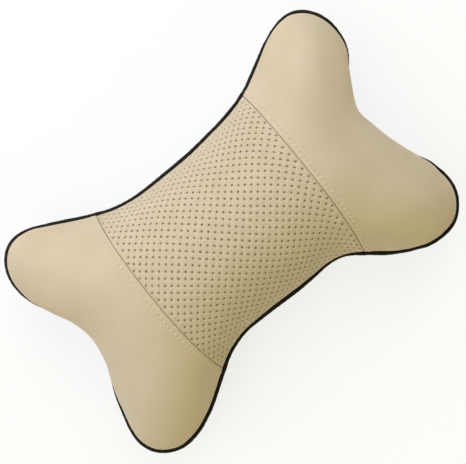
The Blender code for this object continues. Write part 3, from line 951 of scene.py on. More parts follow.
class NodeKit:
    """Short ways to add and join nodes in a material."""

    def __init__(self, name: str) -> None:
        """Starts a material that has only its shader.

        Args:
            name: The material's name.
        """
        self.material = bpy.data.materials.new(name)
        self.material.use_nodes = True
        self.tree = self.material.node_tree
        self.shader = self.tree.nodes["Principled BSDF"]

    def add(self, kind: str, **settings: object) -> bpy.types.Node:
        """Adds a node and sets its properties and, by name, its inputs.

        Args:
            kind: The node's type, without the leading ShaderNode.
            **settings: Properties in lower case, and inputs with underscores for spaces. An
                input may be given another node's output.

        Returns:
            The node.
        """
        node = self.tree.nodes.new("ShaderNode" + kind)
        for key, value in settings.items():
            if hasattr(node, key):
                setattr(node, key, value)
            else:
                self.feed(node.inputs[key.replace("_", " ")], value)
        return node

    def feed(
        self, target: bpy.types.NodeSocket, value: bpy.types.NodeSocket | float | tuple
    ) -> None:
        """Links an output to an input, or gives the input a plain value.

        Args:
            target: The input.
            value: The output or plain value that it gets.
        """
        if isinstance(value, bpy.types.NodeSocket):
            self.join(value, target)
        else:
            target.default_value = value

    def join(self, source: bpy.types.NodeSocket, target: bpy.types.NodeSocket) -> None:
        """Links an output to an input."""
        self.tree.links.new(source, target)

    def millimetres(self, metres: bpy.types.NodeSocket) -> bpy.types.NodeSocket:
        """Coordinates in millimetres, from coordinates in metres.

        Args:
            metres: The coordinates.

        Returns:
            The scaled coordinates.
        """
        scaled = self.add("VectorMath", operation="SCALE", Vector=metres)
        scaled.inputs["Scale"].default_value = 1 / MILLIMETRE
        return scaled.outputs["Vector"]

    def surface_millimetres(self) -> bpy.types.NodeSocket:
        """The piece's own UV map, in millimetres."""
        return self.millimetres(self.add("UVMap", uv_map="UVMap").outputs["UV"])

    def object_millimetres(self) -> bpy.types.NodeSocket:
        """The piece's object coordinates, in millimetres."""
        return self.millimetres(self.add("TexCoord").outputs["Object"])

    def bands(
        self, place: bpy.types.NodeSocket, direction: str, spacing: float, waver: float = 0.0
    ) -> bpy.types.NodeSocket:
        """Soft bands that follow each other in a direction, so many millimetres apart.

        Args:
            place: Coordinates in millimetres.
            direction: The axis that the bands cross.
            spacing: Distance from band to band.
            waver: How unevenly they run.

        Returns:
            A value from 0 to 1.
        """
        wave = self.add(
            "TexWave",
            wave_type="BANDS",
            bands_direction=direction,
            Vector=place,
            Scale=math.pi / (10 * spacing),
            Distortion=waver,
        )
        return wave.outputs["Fac"]

    def calculate(
        self, operation: str, first: bpy.types.NodeSocket, second: bpy.types.NodeSocket | float
    ) -> bpy.types.NodeSocket:
        """The result of one operation on two values.

        Args:
            operation: The operation's name in Blender.
            first: The first value.
            second: The second value.

        Returns:
            The result.
        """
        node = self.add("Math", operation=operation)
        self.feed(node.inputs[0], first)
        self.feed(node.inputs[1], second)
        return node.outputs[0]

    def noise(
        self, place: bpy.types.NodeSocket, per_mm: float, detail: float = 2
    ) -> bpy.types.NodeSocket:
        """Noise with so many cells to the millimetre."""
        node = self.add("TexNoise", Vector=place, Scale=per_mm, Detail=detail, Roughness=0.55)
        return node.outputs["Fac"]

    def ranged(
        self, value: bpy.types.NodeSocket, low: float, high: float, start: float, stop: float
    ) -> bpy.types.NodeSocket:
        """A value mapped from the range low to high onto start to stop.

        Args:
            value: The value.
            low: Where its range starts.
            high: Where its range ends.
            start: What low becomes.
            stop: What high becomes.

        Returns:
            The mapped value.
        """
        node = self.add(
            "MapRange", Value=value, From_Min=low, From_Max=high, To_Min=start, To_Max=stop
        )
        return node.outputs["Result"]

    def blend(
        self, share: bpy.types.NodeSocket, first: tuple | bpy.types.NodeSocket, second: tuple
    ) -> bpy.types.NodeSocket:
        """A colour between two, by a share.

        Args:
            share: 0 for the first colour and 1 for the second.
            first: A colour, or a node's output.
            second: A colour.

        Returns:
            The colour.
        """
        node = self.add("Mix", data_type="RGBA", Factor=share)
        self.feed(node.inputs[6], first if isinstance(first, bpy.types.NodeSocket) else (*first, 1))
        self.feed(node.inputs[7], (*second, 1))
        return node.outputs[2]

    def raise_by(
        self,
        height: bpy.types.NodeSocket,
        distance: float,
        strength: float,
        under: bpy.types.NodeSocket | None = None,
    ) -> bpy.types.NodeSocket:
        """A bump of so many metres, on top of another bump if there is one.

        Args:
            height: The pattern, from 0 to 1.
            distance: How high it stands in metres.
            strength: How strongly it shows.
            under: The bump beneath it.

        Returns:
            The normal.
        """
        node = self.add("Bump", Height=height, Strength=strength, Distance=distance)
        if under is not None:
            self.join(under, node.inputs["Normal"])
        return node.outputs["Normal"]

    def set(self, **values: bpy.types.NodeSocket | float | tuple) -> None:
        """Sets or joins the shader's own sockets, with underscores for spaces."""
        for key, value in values.items():
            self.feed(self.shader.inputs[key.replace("_", " ")], value)


@dataclass(frozen=True)
class LeatherFinish:
    """Smooth matte artificial leather."""

    name: str = "beige_leather"
    colour: tuple[float, float, float] = (0.565, 0.465, 0.325)
    pale: tuple[float, float, float] = (0.595, 0.495, 0.355)
    # Painted shade: darker colour laid into the seam groove, the needle holes and the punched
    # holes' rims, where the light falls off.
    painted_crease_shade: tuple[float, float, float] = (0.42, 0.32, 0.18)
    roughness: tuple[float, float] = (0.50, 0.60)
    pores_per_mm: float = 1.3
    pore_height: float = 0.00003
    speckle: float = 0.1
    speckle_shade: tuple[float, float, float] = (0.44, 0.36, 0.235)

    def build(self) -> bpy.types.Material:
        """Makes the material.

        Returns:
            A material that reads object coordinates and the piece's crease attribute.
        """
        kit = NodeKit(self.name)
        place = kit.object_millimetres()
        cloudy = kit.ranged(kit.noise(place, 0.035, 3), 0.35, 0.65, 0, 1)
        colour = kit.blend(cloudy, self.colour, self.pale)
        speckled = kit.ranged(kit.noise(place, 0.9, 2), 0.42, 0.66, 0, self.speckle)
        colour = kit.blend(speckled, colour, self.speckle_shade)
        # The stored attribute paints shade into the seam grooves and holes.
        painted_crease_shade = kit.add("Attribute", attribute_name="painted_crease_shade")
        painted_shade_colour = kit.blend(painted_crease_shade.outputs["Fac"], colour, self.painted_crease_shade)
        rough = kit.ranged(kit.noise(place, 0.4, 3), 0.3, 0.7, *self.roughness)
        pores = kit.add(
            "TexVoronoi", feature="DISTANCE_TO_EDGE", Vector=place, Scale=self.pores_per_mm
        )
        cells = kit.ranged(pores.outputs["Distance"], 0, 0.18, 0, 1)
        grain = kit.raise_by(cells, self.pore_height, 0.35)
        fine = kit.raise_by(kit.noise(place, 3.2, 4), self.pore_height, 0.3, grain)
        kit.set(Base_Color=painted_shade_colour, Roughness=rough, Normal=fine)
        kit.set(IOR=1.45, Sheen_Weight=0.12, Sheen_Roughness=0.5)
        return kit.material


@dataclass(frozen=True)
class FoamFinish:
    """Dark foam seen at the bottom of the punched holes."""

    name: str = "dark_foam"
    colour: tuple[float, float, float] = (0.165, 0.122, 0.062)

    def build(self) -> bpy.types.Material:
        """Makes the material.

        Returns:
            The material.
        """
        kit = NodeKit(self.name)
        cells = kit.noise(kit.object_millimetres(), 4, 3)
        colour = kit.blend(cells, self.colour, tuple(c * 0.5 for c in self.colour))
        kit.set(Base_Color=colour, Roughness=0.9, Specular_IOR_Level=0.2)
        return kit.material


@dataclass(frozen=True)
class PipingFinish:
    """Black artificial leather, cut on the bias and drawn tight over a cord."""

    name: str = "black_piping"
    colour: tuple[float, float, float] = (0.008, 0.006, 0.004)
    worn: tuple[float, float, float] = (0.016, 0.013, 0.008)
    roughness: tuple[float, float] = (0.42, 0.55)

    def build(self) -> bpy.types.Material:
        """Makes the material.

        Returns:
            The material.
        """
        kit = NodeKit(self.name)
        place = kit.object_millimetres()
        rubbed = kit.ranged(kit.noise(place, 0.3, 3), 0.4, 0.75, 0, 1)
        colour = kit.blend(rubbed, self.colour, self.worn)
        rough = kit.ranged(rubbed, 0, 1, *self.roughness)
        grain = kit.raise_by(kit.noise(place, 2.2, 4), 0.00005, 0.4)
        kit.set(Base_Color=colour, Roughness=rough, Normal=grain, Specular_IOR_Level=0.14)
        return kit.material


@dataclass(frozen=True)
class KnitFinish:
    """Black polyester knit with rows of small loops."""

    name: str = "black_fabric"
    colour: tuple[float, float, float] = (0.016, 0.015, 0.015)
    thread: tuple[float, float, float] = (0.034, 0.033, 0.032)
    loop_mm: float = 1.1

    def build(self) -> bpy.types.Material:
        """Makes the material, which reads the piece's UV map.

        Returns:
            The material.
        """
        kit = NodeKit(self.name)
        place = kit.surface_millimetres()
        wales, courses = (kit.bands(place, way, self.loop_mm) for way in ("X", "Y"))
        loops = kit.calculate("MULTIPLY", wales, courses)
        knitted = kit.raise_by(loops, 0.00025, 0.8)
        fuzz = kit.raise_by(kit.noise(place, 2.5, 4), 0.00008, 0.5, knitted)
        kit.set(Base_Color=kit.blend(loops, self.colour, self.thread), Normal=fuzz)
        kit.set(Roughness=0.9, Specular_IOR_Level=0.25, Sheen_Weight=0.25, Sheen_Roughness=0.4)
        return kit.material


@dataclass(frozen=True)
class ElasticFinish:
    """Black woven elastic, ribbed along its length."""

    name: str = "black_elastic"
    colour: tuple[float, float, float] = (0.018, 0.017, 0.017)
    pick: tuple[float, float, float] = (0.040, 0.039, 0.038)
    pick_mm: float = 0.9

    def build(self) -> bpy.types.Material:
        """Makes the material, which reads the piece's UV map.

        Returns:
            The material.
        """
        kit = NodeKit(self.name)
        place = kit.surface_millimetres()
        picks = kit.bands(place, "X", self.pick_mm, 0.6)
        weave = kit.raise_by(picks, 0.0001, 0.7)
        fuzz = kit.raise_by(kit.noise(place, 3, 3), 0.00005, 0.5, weave)
        kit.set(Base_Color=kit.blend(picks, self.colour, self.pick), Normal=fuzz)
        kit.set(Roughness=0.75, Sheen_Weight=0.15)
        return kit.material


@dataclass(frozen=True)
class ThreadFinish:
    """Twisted sewing thread."""

    name: str = "beige_thread"
    colour: tuple[float, float, float] = (0.76, 0.68, 0.54)
    shade: tuple[float, float, float] = (0.66, 0.56, 0.41)
    twist_mm: float = 0.625

    def build(self) -> bpy.types.Material:
        """Makes the material, which reads the piece's UV map.

        Returns:
            The material.
        """
        kit = NodeKit(self.name)
        twist = kit.bands(kit.surface_millimetres(), "DIAGONAL", self.twist_mm, 0.5)
        colour = kit.blend(twist, self.shade, self.colour)
        kit.set(Base_Color=colour, Normal=kit.raise_by(twist, 0.00012, 0.6))
        kit.set(Roughness=0.6, Sheen_Weight=0.2)
        return kit.material


@dataclass(frozen=True)
class FibreFinish:
    """Loose white fibre stuffing."""

    name: str = "white_fibre"
    colour: tuple[float, float, float] = (0.75, 0.75, 0.72)

    def build(self) -> bpy.types.Material:
        """Makes the material.

        Returns:
            The material.
        """
        kit = NodeKit(self.name)
        strands = kit.noise(kit.object_millimetres(), 0.6, 6)
        colour = kit.blend(strands, tuple(c * 0.85 for c in self.colour), self.colour)
        kit.set(Base_Color=colour, Normal=kit.raise_by(strands, 0.001, 0.8))
        kit.set(Roughness=0.95, Specular_IOR_Level=0.1, Sheen_Weight=0.3)
        return kit.material


def set_painted_crease_shade(piece: bpy.types.Object, values: np.ndarray) -> None:
    """Stores how deep in a groove or hole each vertex lies, from 0 to 1, as painted shade for the
    leather's colour.
    """
    attribute = piece.data.attributes.new("painted_crease_shade", "FLOAT", "POINT")
    attribute.data.foreach_set("value", np.clip(values, 0, 1).astype(np.float32))


@dataclass
class TopStitch:
    """The row of stitches that holds the folded seam down."""

    side: Side
    offset: float = 0.0035
    pitch: float = 0.0036
    length: float = 0.0027
    radius: float = 0.00036
    edge_clearance: float = 0.004
    sink: float = 0.00024
    end_drop: float = 0.000484
    lean: float = 5.0
    stray: float = 0.00006
    length_share: tuple[float, float] = (0.95, 1.03)
    end_power: float = 0.8
    thickness_share: float = 0.85

    def stations(self, cover: Cover) -> tuple[np.ndarray, np.ndarray]:
        """The rows of the stitches' middles and of the needle holes between them.

        Args:
            cover: The smooth cover.

        Returns:
            The middles' rows and the holes' rows.
        """
        rows = np.linspace(0, cover.rows, 2001)
        column = cover.column_at(np.array([self.offset]), self.side, rows)[0]
        place, _ = cover.face.at(column, rows)
        lengths = running_total(np.linalg.norm(np.diff(place, axis=0), axis=-1))
        usable = lengths[-1] - 2 * self.edge_clearance
        count = int(usable / self.pitch)
        start = (lengths[-1] - count * self.pitch) / 2
        holes = start + np.arange(count + 1) * self.pitch
        middles = holes[:-1] + self.pitch / 2
        return np.interp(middles, lengths, rows), np.interp(holes, lengths, rows)

    def build(self, cover: Cover, seam: "FoldedSeam", name: str) -> bpy.types.Object:
        """Makes all the stitches of one seam.

        Args:
            cover: The cover that they lie on.
            seam: The seam's cross-section, which says how high the leather is at the row.
            name: The piece's name.

        Returns:
            One object with every stitch in it.
        """
        middles, _ = self.stations(cover)
        bm = bmesh.new()
        uv = bm.loops.layers.uv.verify()
        rng = np.random.default_rng(Pattern.STITCHES.value + self.side.value)
        column = cover.column_at(np.array([self.offset]), self.side, middles)[0]
        place, normal = cover.face.at(column, middles)
        ahead, _ = cover.face.at(column, middles + 0.01)
        along = ahead - place
        along /= np.linalg.norm(along, axis=1, keepdims=True)
        height = seam.height_at(self.offset) + self.radius - self.sink
        for k in range(len(middles)):
            made = bmesh.ops.create_uvsphere(bm, u_segments=10, v_segments=8, radius=1)
            lean = math.radians(rng.uniform(-self.lean, self.lean))
            across = np.cross(normal[k], along[k])
            forward = along[k] * math.cos(lean) + across * math.sin(lean)
            sideways = np.cross(normal[k], forward)
            stray = rng.uniform(-self.stray, self.stray)
            centre = place[k] + normal[k] * height + across * stray
            half = self.length / 2 * rng.uniform(*self.length_share)
            for vert in made["verts"]:
                x, y, z = vert.co
                reach = math.copysign(abs(z) ** self.end_power, z) if z else 0.0
                drop = self.end_drop * reach**4
                spot = centre + forward * reach * half + sideways * x * self.radius
                vert.co = spot + normal[k] * (y * self.radius * self.thickness_share - drop)
            for face in {face for vert in made["verts"] for face in vert.link_faces}:
                for loop in face.loops:
                    offset = loop.vert.co - Vector(centre)
                    loop[uv].uv = (offset.dot(Vector(forward)), offset.dot(Vector(sideways)))
        return new_object(name, bm)


@dataclass(frozen=True)
class FoldedSeam:
    """Cross-section of the seam between two face panels, in millimetres off the smooth cover.

    The end panel is folded under and topstitched down over the seam's turnings. The centre panel
    runs in beneath the fold.
    """

    fold: tuple[tuple[float, float], ...] = (
        (0.30, -2.4),
        (0.14, -1.9),
        (0.09, -1.3),
        (0.11, -0.8),
        (0.23, -0.38),
        (0.46, -0.11),
        (0.74, 0.03),
        (1.10, 0.12),
        (1.60, 0.16),
        (2.20, 0.14),
        (2.70, 0.10),
        (3.05, 0.07),
        (3.28, 0.045),
        (3.50, 0.03),
        (3.72, 0.04),
        (4.00, 0.05),
        (4.50, 0.05),
        (5.20, 0.03),
        (6.40, 0.00),
    )
    tucked: tuple[tuple[float, float], ...] = (
        (0.00, -1.9),
        (0.03, -1.3),
        (0.06, -0.8),
        (0.14, -0.40),
        (0.27, -0.18),
        (0.42, -0.08),
    )

    def height_at(self, distance: float) -> float:
        """Height of the end panel this far outside the seam."""
        offsets, heights = np.array(self.fold).T * MILLIMETRE
        return float(np.interp(distance, offsets, heights))


@dataclass
class EndPanel:
    """A plain leather panel over one end of the pillow.

    The needle pulls it down a little beside the seam, and more in a groove along the stitches.
    """

    side: Side
    stitch: TopStitch
    seam: FoldedSeam = field(default_factory=FoldedSeam)
    wall: float = 0.0012
    outer_columns: int = 46
    rows_per_stitch: int = 6
    rim_rows: int = 15
    pull_at: float = 0.0019
    pull_width: float = 0.0012
    pull_depth: float = 0.00005
    groove_width: float = 0.0007
    groove_depth: float = 0.00015
    needle_width: float = 0.0004
    # Painted shade: the leather darkens in the seam groove and at the needle holes.
    needle_shade: float = 0.15
    shaded_mm: tuple[float, float] = (0.15, 1.6)
    gathers: Gathers = Gathers(0.00022, 0.011, 0.006, Pattern.END_GATHERS)

    def rows(self, cover: Cover) -> tuple[np.ndarray, np.ndarray]:
        """Rows of the mesh, so many to each stitch, and how near each is to a needle hole.

        Args:
            cover: The smooth cover.

        Returns:
            The rows, and for each 1 at a hole to -1 midway between two.
        """
        _, holes = self.stitch.stations(cover)
        index = np.arange((len(holes) - 1) * self.rows_per_stitch + 1) / self.rows_per_stitch
        inner = np.interp(index, np.arange(len(holes)), holes)
        step = inner[1] - inner[0]
        count = self.rim_rows + 1
        low = np.linspace(0, inner[0], count)[:-1] if inner[0] > step else np.array([0.0])
        top = np.linspace(inner[-1], cover.rows, count)[1:]
        rows = np.concatenate([low, inner, top])
        phase = np.concatenate([np.full(len(low), 0.5), index % 1, np.full(len(top), 0.5)])
        return rows, np.cos(phase * math.tau)

    def build(self, cover: Cover, name: str) -> bpy.types.Object:
        """Makes the panel: a closed leather wall with its seam edge folded under.

        Args:
            cover: The smooth cover that it lies on.
            name: The piece's name.

        Returns:
            The panel.
        """
        rows, needle = self.rows(cover)
        offsets, heights = np.array(self.seam.fold).T * MILLIMETRE
        near = cover.column_at(np.maximum(offsets, 0), self.side, rows)
        last = 0 if self.side is Side.LEFT else cover.face.count_u - 1
        shares = np.sin(np.linspace(0, math.pi / 2, self.outer_columns + 1))[1:]
        far = near[-1] + (last - near[-1]) * shares[:, None]
        columns = np.concatenate([near, far])
        height = np.concatenate([heights, np.zeros(len(far))])[:, None] + 0 * columns
        place, normal = cover.face.at(columns, np.broadcast_to(rows, columns.shape))
        outside = np.concatenate([offsets, np.full(len(far), 1.0)])[:, None]
        pull = bump(outside, self.pull_at, self.pull_width) * self.pull_depth
        groove = bump(outside, self.stitch.offset, self.groove_width) * self.groove_depth
        height = height - needle[None] * (pull + groove)
        height = height + self.gathers.at(place, place[..., 2] - cover.seam_height)
        outer = place + normal * height[..., None]
        inner = outer - normal * self.wall
        # Painted shade for the seam groove and the needle holes, stored on the leather.
        painted_crease_shade = self.painted_crease_shade(columns.shape, offsets, needle)
        if self.side is Side.RIGHT:
            outer, inner, painted_crease_shade = (grid[:, ::-1] for grid in (outer, inner, painted_crease_shade))
        piece = closed_shell(name, outer, inner)
        flat = painted_crease_shade.T.ravel()
        set_painted_crease_shade(piece, np.concatenate([flat, flat]))
        return piece

    def painted_crease_shade(self, shape: tuple[int, int], offsets: np.ndarray, needle: np.ndarray) -> np.ndarray:
        """How much painted shade each vertex gets, by how deep it lies in the seam or in a needle
        hole.

        Args:
            shape: Number of columns and rows of the grid.
            offsets: Distances of its first columns from the seam.
            needle: How near each row is to a needle hole.

        Returns:
            A value from 0 for each point.
        """
        painted_crease_shade = np.zeros(shape)
        count = len(offsets)
        depth = np.array(self.seam.fold)[:, 1]
        # Painted shade, deeper down the folded seam.
        painted_crease_shade[:count] += smooth_step(*self.shaded_mm, -depth)[:, None]
        # Painted shade at each needle hole.
        pierced = bump(offsets, self.stitch.offset, self.needle_width)[:, None]
        painted_crease_shade[:count] += pierced * np.maximum(needle, 0)[None] ** 3 * self.needle_shade
        return painted_crease_shade


@dataclass
class CentrePanel:
    """The perforated leather panel across the middle of the face."""

    seam: FoldedSeam = field(default_factory=FoldedSeam)
    pitch: float = 0.0042
    turn: float = math.radians(-42)
    hole_radius: float = 0.00072
    lip: float = 0.00014
    lip_drop: float = 0.00010
    hole_depth: float = 0.0011
    seam_margin: float = 0.0015
    crowding: float = 0.0008
    rim_margin: float = 0.0034
    wall: float = 0.002
    strip: tuple[float, float] = (0.00042, 0.0018)
    width: float = 0.1235
    lines: int = 72
    frame_columns: int = 62
    frame_rows: int = 84
    frame_gap: tuple[float, float] = (0.0003, 0.0006)
    foam: float = 0.0012
    # Painted shade in the dip by the seams and down the punched holes.
    seam_shaded: tuple[float, float] = (0.0003, 0.0014)
    hole_shaded: tuple[float, float] = (0.0001, 0.0006)
    hole_shade: float = 0.8
    sharp_from: float = math.radians(50)
    gathers: Gathers = Gathers(0.0002, 0.010, 0.005, Pattern.CENTRE_GATHERS)

    def chart(self, cover: Cover) -> None:
        """Works out the flat pattern: lines across the panel, and distances over the cover.

        Args:
            cover: The smooth cover.
        """
        self.row_samples = np.linspace(0, cover.rows, 12 * cover.rows + 1)
        shares = np.linspace(0, 1, self.lines + 1)
        self.columns = cover.centre_column(shares, self.row_samples)
        place, _ = cover.face.at(self.columns, self.row_samples[None, :] + 0 * self.columns)
        lengths = running_total(np.linalg.norm(np.diff(place, axis=1), axis=-1))
        self.lengths = lengths - lengths[:, lengths.shape[1] // 2][:, None]

    def limits(self, x: np.ndarray) -> tuple[np.ndarray, np.ndarray]:
        """Lowest and highest distance over the cover at each x of the flat pattern.

        Args:
            x: Distances from the left seam.

        Returns:
            The lowest and the highest distances.
        """
        line = np.asarray(x) / self.width * self.lines
        index = np.arange(self.lines + 1)
        low = np.interp(line, index, self.lengths[:, 0])
        top = np.interp(line, index, self.lengths[:, -1])
        return low, top

    def lift(self, cover: Cover, flat: np.ndarray) -> tuple[np.ndarray, np.ndarray]:
        """Takes points of the flat pattern onto the cover.

        Args:
            cover: The smooth cover.
            flat: Rows of x, from the left seam, and distance over the cover from its middle row.

        Returns:
            Points on the cover and the normals there.
        """
        line = np.clip(flat[:, 0] / self.width, 0, 1) * self.lines
        first = np.minimum(line.astype(int), self.lines - 1)
        part = line - first
        sample = np.arange(len(self.row_samples))
        spots = np.zeros((2, len(flat)))
        for side in (0, 1):
            for k in np.unique(first):
                held = first == k
                spots[side, held] = np.interp(flat[held, 1], self.lengths[k + side], sample)
        spot = spots[0] * (1 - part) + spots[1] * part
        below = np.minimum(spot.astype(int), len(sample) - 2)
        rest = spot - below
        sides = []
        for line_at in (first, first + 1):
            near, far = self.columns[line_at, below], self.columns[line_at, below + 1]
            sides.append(near * (1 - rest) + far * rest)
        column = sides[0] * (1 - part) + sides[1] * part
        return cover.face.at(column, spot * self.row_samples[1])

    def punch(self, bm: bmesh.types.BMesh) -> None:
        """Lays out the leather between the holes, and sinks each hole to the foam.

        Args:
            bm: An empty mesh, which gets the flat pattern.
        """
        half = math.hypot(float(np.abs(self.lengths).max()), self.width / 2) + 2 * self.pitch
        cells = 2 * math.ceil(half / self.pitch)
        size = cells * self.pitch / 2
        bmesh.ops.create_grid(bm, x_segments=cells, y_segments=cells, size=size)
        middle = Vector((self.width / 2, 0, 0))
        bmesh.ops.rotate(bm, verts=bm.verts, matrix=Matrix.Rotation(self.turn, 3, "Z"))
        bmesh.ops.translate(bm, verts=bm.verts, vec=middle)
        for vert in bm.verts:
            beside, _ = self.clearance(vert.co.x, vert.co.y)
            if 0 < self.seam_margin - beside < self.crowding:
                inwards = 1 if vert.co.x < self.width / 2 else -1
                vert.co.x += inwards * (self.seam_margin - beside + 0.00001)
        outer, holed = [], []
        for vert in bm.verts:
            beside, over = self.clearance(vert.co.x, vert.co.y)
            if min(beside, over) < -2 * self.pitch:
                outer.append(vert)
            elif beside > self.seam_margin and over > self.rim_margin:
                holed.append(vert)
        bmesh.ops.delete(bm, geom=outer, context="VERTS")
        made = bmesh.ops.bevel(
            bm,
            geom=holed,
            offset=self.hole_radius + self.lip,
            offset_type="OFFSET",
            segments=1,
            profile=0.5,
            affect="VERTICES",
            material=-1,
        )
        holes = [face for face in made["faces"] if len(face.verts) == 4]
        rims = list({edge for face in holes for edge in face.edges})
        bmesh.ops.bisect_edges(bm, edges=rims, cuts=2)
        for face in holes:
            centre = face.calc_center_median()
            for vert in face.verts:
                vert.co = centre + (vert.co - centre).normalized() * (self.hole_radius + self.lip)
        held = set(holes)
        beyond = []
        nearest = np.array(self.strip) + self.frame_gap
        for face in bm.faces:
            if face in held:
                continue
            reach = np.array([self.clearance(v.co.x, v.co.y) for v in face.verts])
            if (reach.min(0) < nearest).any():
                beyond.append(face)
        while beyond:
            bmesh.ops.delete(bm, geom=beyond, context="FACES")
            beyond = []
            for vert in bm.verts:
                if sum(edge.is_boundary for edge in vert.link_edges) > 2:
                    beyond += [face for face in vert.link_faces if face not in held]
            beyond = list(set(beyond))
        wires = [edge for edge in bm.edges if not edge.link_faces]
        bmesh.ops.delete(bm, geom=wires, context="EDGES")
        cells = [face for face in bm.faces if face not in held]
        bmesh.ops.poke(bm, faces=cells)
        bmesh.ops.inset_individual(
            bm, faces=holes, thickness=self.lip, depth=-self.lip_drop, use_even_offset=True
        )
        bmesh.ops.inset_individual(
            bm, faces=holes, thickness=self.lip / 8, depth=-self.hole_depth, use_even_offset=True
        )
        for face in holes:
            face.material_index = 1
        LOG.info("punched %d holes", len(holes))

    def clearance(self, x: float, y: float) -> tuple[float, float]:
        """How far a point of the flat pattern is inside the seams, and inside the piped edges."""
        low, top = self.limits(x)
        return min(x, self.width - x), float(min(y - low, top - y))

    def frame_ring(self, inset: tuple[float, float]) -> np.ndarray:
        """A ring of points round the flat pattern, this far inside its seams and piped edges.

        Args:
            inset: How far inside the seams, and inside the piped edges.

        Returns:
            The points in order.
        """
        shares = np.linspace(0, 1, self.frame_columns + 1), np.linspace(0, 1, self.frame_rows + 1)
        ring = []
        for i, j in border(self.frame_columns + 1, self.frame_rows + 1):
            x = inset[0] + (self.width - 2 * inset[0]) * shares[0][i]
            low, top = self.limits(x)
            ring.append((x, low + inset[1] + (top - low - 2 * inset[1]) * shares[1][j]))
        return np.array(ring)

    def build(self, cover: Cover, name: str) -> bpy.types.Object:
        """Makes the panel.

        Args:
            cover: The smooth cover that it lies on.
            name: The piece's name.

        Returns:
            The panel, whose second material is the foam in the holes.
        """
        self.chart(cover)
        bm = bmesh.new()
        self.punch(bm)
        boundary = [edge for edge in bm.edges if edge.is_boundary]
        tucked = np.array(self.seam.tucked) * MILLIMETRE
        rings = []
        for offset, height in tucked:
            share = offset / tucked[-1, 0]
            points = self.frame_ring((offset, share * self.strip[1]))
            rings.append([bm.verts.new((*spot, 0)) for spot in points])
        for outer, inner in zip(rings, rings[1:]):
            add_wall(bm, outer, inner)
        frame = set(rings[-1])
        fill = [e for e in bm.edges if e.is_boundary and all(v in frame for v in e.verts)]
        bmesh.ops.triangle_fill(bm, use_beauty=True, edges=boundary + fill, normal=(0, 0, 1))
        bm.verts.ensure_lookup_table()
        flat = np.array([v.co for v in bm.verts])
        beside = np.minimum(flat[:, 0], self.width - flat[:, 0])
        dip = np.interp(beside, *tucked.T, right=0)
        place, normal = self.lift(cover, flat[:, :2])
        gathers = self.gathers.at(place, place[:, 2] - cover.seam_height)
        lifted = place + normal * (flat[:, 2] + dip + gathers)[:, None]
        uv = bm.loops.layers.uv.verify()
        for face in bm.faces:
            for loop in face.loops:
                loop[uv].uv = loop.vert.co.xy
        for vert, spot in zip(bm.verts, lifted):
            vert.co = spot
        under = self.underside(cover)
        placed = add_grid(bm, under)
        ring = [placed[spot] for spot in border(*under.shape[:2])]
        add_wall(bm, rings[0], ring)
        bmesh.ops.recalc_face_normals(bm, faces=bm.faces)
        piece = new_object(name, bm)
        piece.data.set_sharp_from_angle(angle=self.sharp_from)
        # Painted shade down the holes' lips and walls and in the dip by the seams.
        painted_hole_shade = smooth_step(*self.hole_shaded, -flat[:, 2]) * self.hole_shade
        painted_crease_shade = np.zeros(len(piece.data.vertices))
        painted_crease_shade[: len(flat)] = smooth_step(*self.seam_shaded, -dip) + painted_hole_shade
        set_painted_crease_shade(piece, painted_crease_shade)
        return piece

    def underside(self, cover: Cover) -> np.ndarray:
        """Grid of points on the foam's plain underside.

        Args:
            cover: The smooth cover.

        Returns:
            The points, column by column.
        """
        xs = np.linspace(0, self.width, self.frame_columns + 1)
        low, top = self.limits(xs)
        shares = np.linspace(0, 1, self.frame_rows + 1)
        ys = low[:, None] + (top - low)[:, None] * shares[None]
        flat = np.stack([np.broadcast_to(xs[:, None], ys.shape), ys], -1)
        place, normal = self.lift(cover, flat.reshape(-1, 2))
        return (place - normal * (self.wall + self.foam)).reshape(*ys.shape, 3)


@dataclass
class Piping:
    """The covered cord in the seam all round."""

    radius: float = 0.0015
    reach: float = 0.0033
    spacing: float = 0.001
    wrinkle: float = 0.00007
    wrinkle_length: float = 0.0032
    sway: float = 0.00025
    sway_length: float = 0.05
    jog: float = 0.0003
    jog_length: float = 0.0025

    def path(self, cover: Cover) -> np.ndarray:
        """Evenly spaced points along the middle of the cord, anticlockwise.

        Args:
            cover: The smooth cover.

        Returns:
            The points in plan.
        """
        rim = cover.edge.points[:-1] + cover.middle
        offset = np.full(len(rim), self.reach - self.radius)
        for side in Side:
            offset += bump(cover.beside(side, rim), 0, self.jog_length) * self.jog
        line = rim + outward(rim) * offset[:, None]
        closed = np.concatenate([line, line[:1]])
        lengths = running_total(np.linalg.norm(np.diff(closed, axis=0), axis=1))
        even = np.linspace(0, lengths[-1], round(lengths[-1] / self.spacing) + 1)[:-1]
        return np.stack([np.interp(even, lengths, closed[:, k]) for k in (0, 1)], -1)

    def build(self, cover: Cover, name: str) -> bpy.types.Object:
        """Makes the cord as a closed ring with the small wrinkles of a bias-cut cover.

        Args:
            cover: The smooth cover.
            name: The piece's name.

        Returns:
            The cord.
        """
        path = self.path(cover)
        height = cover.seam_height + ripple(path, self.sway_length, Pattern.SWAY) * self.sway
        curve = bpy.data.curves.new(name + "_line", "CURVE")
        curve.dimensions = "3D"
        curve.bevel_depth = self.radius
        curve.bevel_resolution = 5
        spline = curve.splines.new("POLY")
        spline.points.add(len(path) - 1)
        for point, spot, z in zip(spline.points, path, height):
            point.co = (*spot, z, 1)
        spline.use_cyclic_u = True
        line = place_object(curve.name, curve)
        graph = bpy.context.evaluated_depsgraph_get()
        mesh = bpy.data.meshes.new_from_object(line.evaluated_get(graph))
        bpy.data.objects.remove(line, do_unlink=True)
        bm = bmesh.new()
        bm.from_mesh(mesh)
        bpy.data.meshes.remove(mesh)
        bmesh.ops.remove_doubles(bm, verts=bm.verts, dist=0.00001)
        bmesh.ops.recalc_face_normals(bm, faces=bm.faces)
        bm.normal_update()
        spots = np.array([v.co for v in bm.verts])
        waves = ripple(spots, self.wrinkle_length, Pattern.WRINKLES) * self.wrinkle
        for vert, wave in zip(bm.verts, waves):
            vert.co += vert.normal * wave
        return new_object(name, bm)


